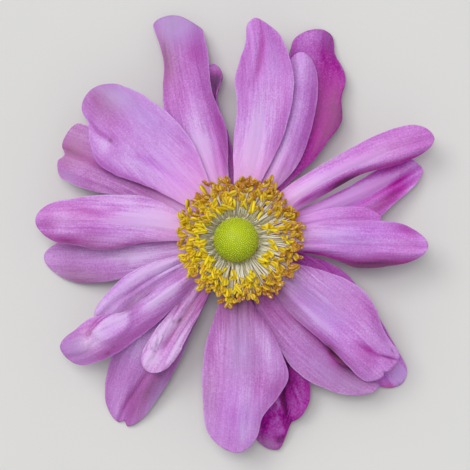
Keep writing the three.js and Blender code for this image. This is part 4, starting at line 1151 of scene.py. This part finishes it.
def make_petal(number, name, petal, materials):
    luck = random.Random(PETAL_SEED + number)
    bm = bmesh.new()
    bmesh.ops.create_grid(bm, x_segments=PETAL_COLUMNS, y_segments=PETAL_ROWS, size=1)
    corners = np.array([vertex.co for vertex in bm.verts])
    points, t, v, grain, radius = petal_points(petal, luck, (corners[:, 1] + 1) / 2, corners[:, 0])
    for vertex, point in zip(bm.verts, points):
        vertex.co = placed(point)
    bmesh.ops.recalc_face_normals(bm, faces=bm.faces)
    if sum(face.normal.z for face in bm.faces) < 0:
        bmesh.ops.reverse_faces(bm, faces=bm.faces)
    mesh = template_mesh(bm, name + "_petal")
    for tone, values in petal_tones(petal, t, v, grain[:, 0], radius).items():
        store(mesh, tone, values)
    # Each petal takes another slice of the pattern.
    vector = mesh.attributes.new("grain", "FLOAT_VECTOR", "POINT")
    vector.data.foreach_set("vector", (grain + [0, 0, GRAIN_STEP * number]).astype(np.float32).ravel())
    piece = finish_piece(mesh, name + "_petal", petal["slot"], *materials)
    shell = piece.modifiers.new("thickness", "SOLIDIFY")
    shell.thickness = PETAL_THICKNESS * MM
    shell.offset = 0
    shell.material_offset = 1
    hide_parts(name)


def turned(profile, sides):
    """A turned solid from (radius, height) points, upwards along its outside."""
    bm = bmesh.new()
    verts = [bm.verts.new((radius, 0, height)) for radius, height in profile]
    edges = [bm.edges.new(pair) for pair in zip(verts, verts[1:])]
    bmesh.ops.spin(
        bm, geom=verts + edges, cent=(0, 0, 0), axis=UP, angle=2 * math.pi, steps=sides, use_merge=True,
    )
    bmesh.ops.remove_doubles(bm, verts=bm.verts, dist=1e-4)
    bmesh.ops.recalc_face_normals(bm, faces=bm.faces)
    # Read back from a mesh, its vertices lie in order, and new ones come after them.
    mesh = template_mesh(bm, "turned")
    bm = bmesh.new()
    bm.from_mesh(mesh)
    bpy.data.meshes.remove(mesh)
    return bm


def append(bm, template, place):
    """Copies a template mesh into bm, with each vertex moved by place."""
    start = len(bm.verts)
    bm.from_mesh(template)
    bm.verts.ensure_lookup_table()
    for i in range(start, len(bm.verts)):
        bm.verts[i].co = place(bm.verts[i].co)


def tube_template(name, sides, end_radius, cuts=0):
    """A straight thread of radius 1 from height 0 to 1, cut into rings."""
    bm = bmesh.new()
    bmesh.ops.create_cone(bm, cap_ends=True, segments=sides, radius1=1, radius2=end_radius, depth=1)
    bmesh.ops.translate(bm, verts=bm.verts, vec=(0, 0, 0.5))
    if cuts:
        upright = [edge for edge in bm.edges if abs(edge.verts[0].co.z - edge.verts[1].co.z) > 0.5]
        bmesh.ops.subdivide_edges(bm, edges=upright, cuts=cuts, use_grid_fill=True)
    return template_mesh(bm, name)


def anther_template():
    """Two long lobes with a groove between them: half its length is 1."""
    bm = bmesh.new()
    bmesh.ops.create_uvsphere(bm, u_segments=10, v_segments=6, radius=1)
    for vertex in bm.verts:
        x, y, z = vertex.co
        groove = math.exp(-(x / ANTHER_GROOVE_WIDTH) ** 2) * math.sqrt(max(0.0, 1 - z * z))
        vertex.co = (x * (1 + ANTHER_TAPER * z), y * (1 - ANTHER_GROOVE_DEPTH * groove), z)
    return template_mesh(bm, "anther")


def along_curve(foot, bend, end, radius_foot, radius_end, flat=1):
    """A function that lays a straight thread along a curve in millimetres, wider than thick by flat."""
    def place(co):
        share = co.z
        centre = foot * (1 - share) ** 2 + bend * (2 * share * (1 - share)) + end * share ** 2
        ahead = ((bend - foot) * (1 - share) + (end - bend) * share).normalized()
        side = UP.cross(ahead).normalized()
        over = ahead.cross(side)
        radius = radius_foot + (radius_end - radius_foot) * share
        return placed(centre + (side * co.x * flat + over * co.y / flat) * radius)
    return place


def make_stalk(skin, hair):
    bm = turned(STALK_PROFILE, STALK_SIDES)
    bmesh.ops.subdivide_edges(bm, edges=bm.edges, cuts=1, use_grid_fill=True)
    cut = []
    for vertex in bm.verts:
        x, y, z = vertex.co
        rib = 1
        if math.hypot(x, y) > STALK_CORE_RADIUS:
            rib += STALK_RIB_DEPTH * math.sin(STALK_RIBS * math.atan2(y, x) + STALK_RIB_TWIST * z)
        cut.append(1.0 if z < CUT_FACE_BELOW else 0.0)
        vertex.co = placed((x * rib, y * rib, z))
    mesh = template_mesh(bm, "stalk_end")
    store(mesh, "cut", cut)
    piece = finish_piece(mesh, "stalk_end", "stalk", skin)
    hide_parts("stalk")

    luck = random.Random(HAIR_SEED)
    template = tube_template("hair", HAIR_SIDES, HAIR_END)
    down = bmesh.new()
    for _ in range(STALK_HAIRS):
        angle = luck.uniform(0, 2 * math.pi)
        height = luck.uniform(*HAIR_HEIGHTS)
        radius = STALK_SKIN_RADIUS
        if height >= HAIR_FLARE_FROM:
            radius = FLARE_SKIN_RADIUS + HAIR_FLARE * (height - HAIR_FLARE_FROM)
        outwards = Vector((math.cos(angle), math.sin(angle), luck.uniform(*HAIR_RISE))).normalized()
        root = radius - HAIR_ROOT
        foot = Vector((math.cos(angle) * root, math.sin(angle) * root, height))
        end = foot + outwards * HAIR_LENGTH * luck.uniform(HAIR_SHORTEST, 1)
        bend = (foot + end) / 2 + UP * HAIR_BEND
        append(down, template, along_curve(foot, bend, end, HAIR_RADIUS, HAIR_RADIUS))
    finish_piece(template_mesh(down, "stalk_down"), "stalk_down", "stalk", hair)


def dome_radius(height):
    """Radius of the green head at a height over its widest place, in millimetres."""
    below = HEAD_WAIST / math.sqrt(1 - (HEAD_NECK_RADIUS / HEAD_RADIUS) ** 2)
    reach = HEAD_CROWN if height > 0 else below
    return HEAD_RADIUS * math.sqrt(max(0, 1 - (height / reach) ** 2))


def make_head(material):
    profile = [(0.0, -HEAD_WAIST)]
    for i in range(HEAD_RINGS + 1):
        height = -HEAD_WAIST + (HEAD_WAIST + HEAD_CROWN) * math.sin(i / HEAD_RINGS * math.pi / 2)
        profile.append((dome_radius(height) if i < HEAD_RINGS else 0.0, height))
    bm = turned(profile, HEAD_SIDES)
    dome_verts = len(bm.verts)
    lift = UP * HEAD_HEIGHT
    for vertex in bm.verts:
        vertex.co = placed(vertex.co + lift)
    ball = bmesh.new()
    bmesh.ops.create_uvsphere(ball, u_segments=8, v_segments=5, radius=1)
    template = template_mesh(ball, "carpel")
    luck = random.Random(CARPEL_SEED)
    for i in range(CARPEL_COUNT):
        rise = CARPEL_FIRST - CARPEL_SPAN * (i + 0.5) / CARPEL_COUNT
        depth = HEAD_CROWN if rise > 0 else HEAD_WAIST
        height = rise * depth
        angle = i * GOLDEN_ANGLE + scatter(luck, CARPEL_TURN)
        radius = dome_radius(height)
        middle = Vector((radius * math.cos(angle), radius * math.sin(angle), height))
        outwards = Vector((middle.x, middle.y, height * HEAD_RADIUS ** 2 / depth ** 2)).normalized()
        turn = UP.rotation_difference(outwards).to_matrix()
        size = CARPEL_RADIUS * luck.uniform(*CARPEL_SIZES)
        tall = CARPEL_STANDS_OUT * luck.uniform(*CARPEL_HEIGHTS)

        def place(co):
            taper = 1 - CARPEL_TAPER * co.z
            shaped = Vector((co.x * size * taper, co.y * size * taper, co.z * 2 * tall - tall))
            return placed(middle + turn @ shaped + lift)

        append(bm, template, place)
    # Painted light: the head is lighter higher up and towards its upper side.
    heights = np.array([vertex.co.z + HEAD_LIGHT_TILT * (vertex.co.y - AXIS.y) for vertex in bm.verts])
    mesh = template_mesh(bm, "green_head")
    top = AXIS.z + (HEAD_HEIGHT + HEAD_CROWN) * MM
    bottom = AXIS.z + (HEAD_HEIGHT + HEAD_LIGHT_FROM) * MM
    store(mesh, "head_light", np.clip((heights - bottom) / (top - bottom), 0, 1) ** HEAD_LIGHT_POWER)
    # The dome between the carpels takes painted shade.
    store(mesh, "gap_shade", np.arange(len(heights)) < dome_verts)
    piece = finish_piece(mesh, "green_head", "pistil", material)
    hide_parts("pistil_head")


def anglewise(reach, angle):
    """A reach at an angle in radians."""
    mean, more, towards = reach
    return mean + more * math.cos(angle - math.radians(towards))


def make_stamens(thread_look, anther_look):
    luck = random.Random(STAMEN_SEED)
    between = luck.uniform
    thread = tube_template("thread", FILAMENT_SIDES, 1, FILAMENT_CUTS)
    thread_heights = [vertex.co.z for vertex in thread.vertices]
    bean = anther_template()
    groove_shades = [math.exp(-(vertex.co.x / ANTHER_GROOVE_SHADE_WIDTH) ** 2) for vertex in bean.vertices]
    threads = turned([
        (COLLAR_INNER_RADIUS, 0), (COLLAR_OUTER_RADIUS, 0), (COLLAR_OUTER_RADIUS, COLLAR_THICKNESS),
        (COLLAR_INNER_RADIUS, COLLAR_THICKNESS), (COLLAR_INNER_RADIUS, 0),
    ], COLLAR_SIDES)
    for vertex in threads.verts:
        vertex.co = placed(vertex.co + UP * COLLAR_HEIGHT)
    along = [0.0] * len(threads.verts)
    lifted = [0.0] * len(threads.verts)
    anthers = bmesh.new()
    ripe = []
    for i in range(STAMEN_COUNT):
        share = math.sqrt((i + 0.5) / STAMEN_COUNT)
        angle = i * GOLDEN_ANGLE + scatter(luck, ANGLE_SCATTER)
        outwards = Vector((math.cos(angle), math.sin(angle), 0))
        sideways = Vector((-outwards.y, outwards.x, 0))
        inner = anglewise(INNER_REACH, angle)
        outer = anglewise(OUTER_REACH, angle)
        clump = CLUMPING * sum(high * math.sin(count * angle + phase) for high, count, phase in CLUMP_WAVES)
        reach = inner + (outer - inner) * share + clump + scatter(luck, REACH_SCATTER)
        chance = luck.random()
        near = chance > NEAR_ABOVE
        if chance < STRAYS_BELOW:
            reach += between(*STRAY_REACH)
        if near:
            reach = between(*NEAR_REACH)
        rise = RISE_FIRST - RISE_LOSS * share + scatter(luck, RISE_SCATTER)
        upper = i % 5 in (0, 2)  # two rows out of five
        foot_width = COLLAR_OUTER_RADIUS - COLLAR_INNER_RADIUS - 2 * FOOT_MARGIN
        foot_radius = COLLAR_INNER_RADIUS + FOOT_MARGIN + foot_width * share
        foot = outwards * foot_radius + UP * (COLLAR_HEIGHT + COLLAR_THICKNESS / 2)
        neck = outwards * reach + sideways * scatter(luck, NECK_SCATTER)
        neck = neck + UP * (COLLAR_HEIGHT + COLLAR_THICKNESS + rise)
        lift = UP * between(*(UPPER_LIFT if upper else LOWER_LIFT))
        bend = foot.lerp(neck, 0.5) + lift + sideways * scatter(luck, BEND_SCATTER)
        radii = UPPER_FILAMENT if upper else LOWER_FILAMENT
        append(threads, thread, along_curve(foot, bend, neck, *radii, FILAMENT_FLAT))
        along.extend(thread_heights)
        lifted.extend([float(upper)] * len(thread_heights))

        lean = outwards * between(*ANTHER_LEAN_OUT) + sideways * scatter(luck, ANTHER_LEAN_SCATTER)
        lean.z = between(*ANTHER_LEAN_UP)
        lean.normalize()
        side = UP.cross(lean).normalized()
        roll = Matrix.Rotation(scatter(luck, ANTHER_ROLL_SCATTER), 3, "Z")
        face = Matrix((side, lean.cross(side), lean)).transposed() @ roll
        grown = between(*(NEAR_GROWTH if near else GROWTH))
        wide, thick, half = (size * grown for size in ANTHER_SIZE)
        wide *= between(*ANTHER_WIDTHS)
        half *= between(*ANTHER_LENGTHS)
        bow = scatter(luck, ANTHER_BOW_SCATTER)
        middle = neck + lean * half * ANTHER_HOLD

        def place(co):
            shaped = Vector((co.x * wide + bow * (1 - co.z * co.z), co.y * thick, co.z * half))
            return placed(middle + face @ shaped)

        append(anthers, bean, place)
        age = AGE_SHARE * share + AGE_FIRST + scatter(luck, AGE_SCATTER)
        age += AGE_UPWARDS * max(0, outwards.y) + AGE_RIGHTWARDS * outwards.x
        ripe.extend([0.0 if near else min(1.0, max(0.0, age))] * len(groove_shades))
    thread_mesh = template_mesh(threads, "filaments")
    store(thread_mesh, "along", along)
    store(thread_mesh, "lifted", lifted)
    piece = finish_piece(thread_mesh, "filaments", "stamen", thread_look)
    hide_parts("stamens")
    anther_mesh = template_mesh(anthers, "anthers")
    store(anther_mesh, "ripe", ripe)
    store(anther_mesh, "groove", groove_shades * STAMEN_COUNT)
    finish_piece(anther_mesh, "anthers", "stamen", anther_look)


# Stage

def make_floor():
    """A pale floor just under the flower."""
    bm = bmesh.new()
    bmesh.ops.create_grid(bm, x_segments=1, y_segments=1, size=FLOOR_HALF_WIDTH)
    bmesh.ops.translate(bm, verts=bm.verts, vec=(0, 0, -FLOOR_DEPTH))
    mesh = template_mesh(bm, "floor")
    mesh.materials.append(plain_material("pale floor", 0.8, 40.0, srgb(226, 226, 224), srgb(222, 222, 221)))
    floor = put("floor", mesh)


def make_light():
    """An even pale studio, with a soft window on the left and a soft light from the front."""
    world = bpy.data.worlds.new("studio")
    bpy.context.scene.world = world
    world.use_nodes = True
    sky = world.node_tree.nodes["Background"]
    sky.inputs["Color"].default_value = SKY_COLOUR
    sky.inputs["Strength"].default_value = SKY_STRENGTH
    for name, energy, angle, direction in LAMPS:
        lamp = bpy.data.lights.new(name, "SUN")
        lamp.energy = energy
        lamp.angle = math.radians(angle)
        lamp.color = LAMP_COLOUR
        put(name, lamp).rotation_euler = Vector(direction).to_track_quat("-Z", "Y").to_euler()


def make_camera():
    """Straight above the flower: at 7 mm over the ground the picture is 79.9 mm wide."""
    camera = bpy.data.cameras.new("camera")
    camera.sensor_width = CAMERA_SENSOR
    camera.lens = CAMERA_LENS
    camera.clip_end = 20
    holder = put("camera", camera)
    holder.location = [middle + offset for middle, offset in zip(AXIS, CAMERA_OFFSET)]
    bpy.context.scene.camera = holder


bpy.context.scene.view_settings.view_transform = "Standard"
make_camera()
make_light()
make_floor()
VEINS = vein_group()
PETAL_LOOKS = (petal_material("petal front", VEINS, 0.0), petal_material("petal back", VEINS, 0.18))
for petal_number, (petal_name, petal_facts) in enumerate(PETALS.items()):
    make_petal(petal_number, petal_name, petal_facts, PETAL_LOOKS)
HAIR_LOOK = plain_material(
    "hairs", 0.4, 900.0, srgb(232, 228, 220), srgb(206, 200, 196), Specular_IOR_Level=0.5,
)
make_stalk(stalk_material(), HAIR_LOOK)
make_head(head_material())
make_stamens(filament_material(), anther_material())
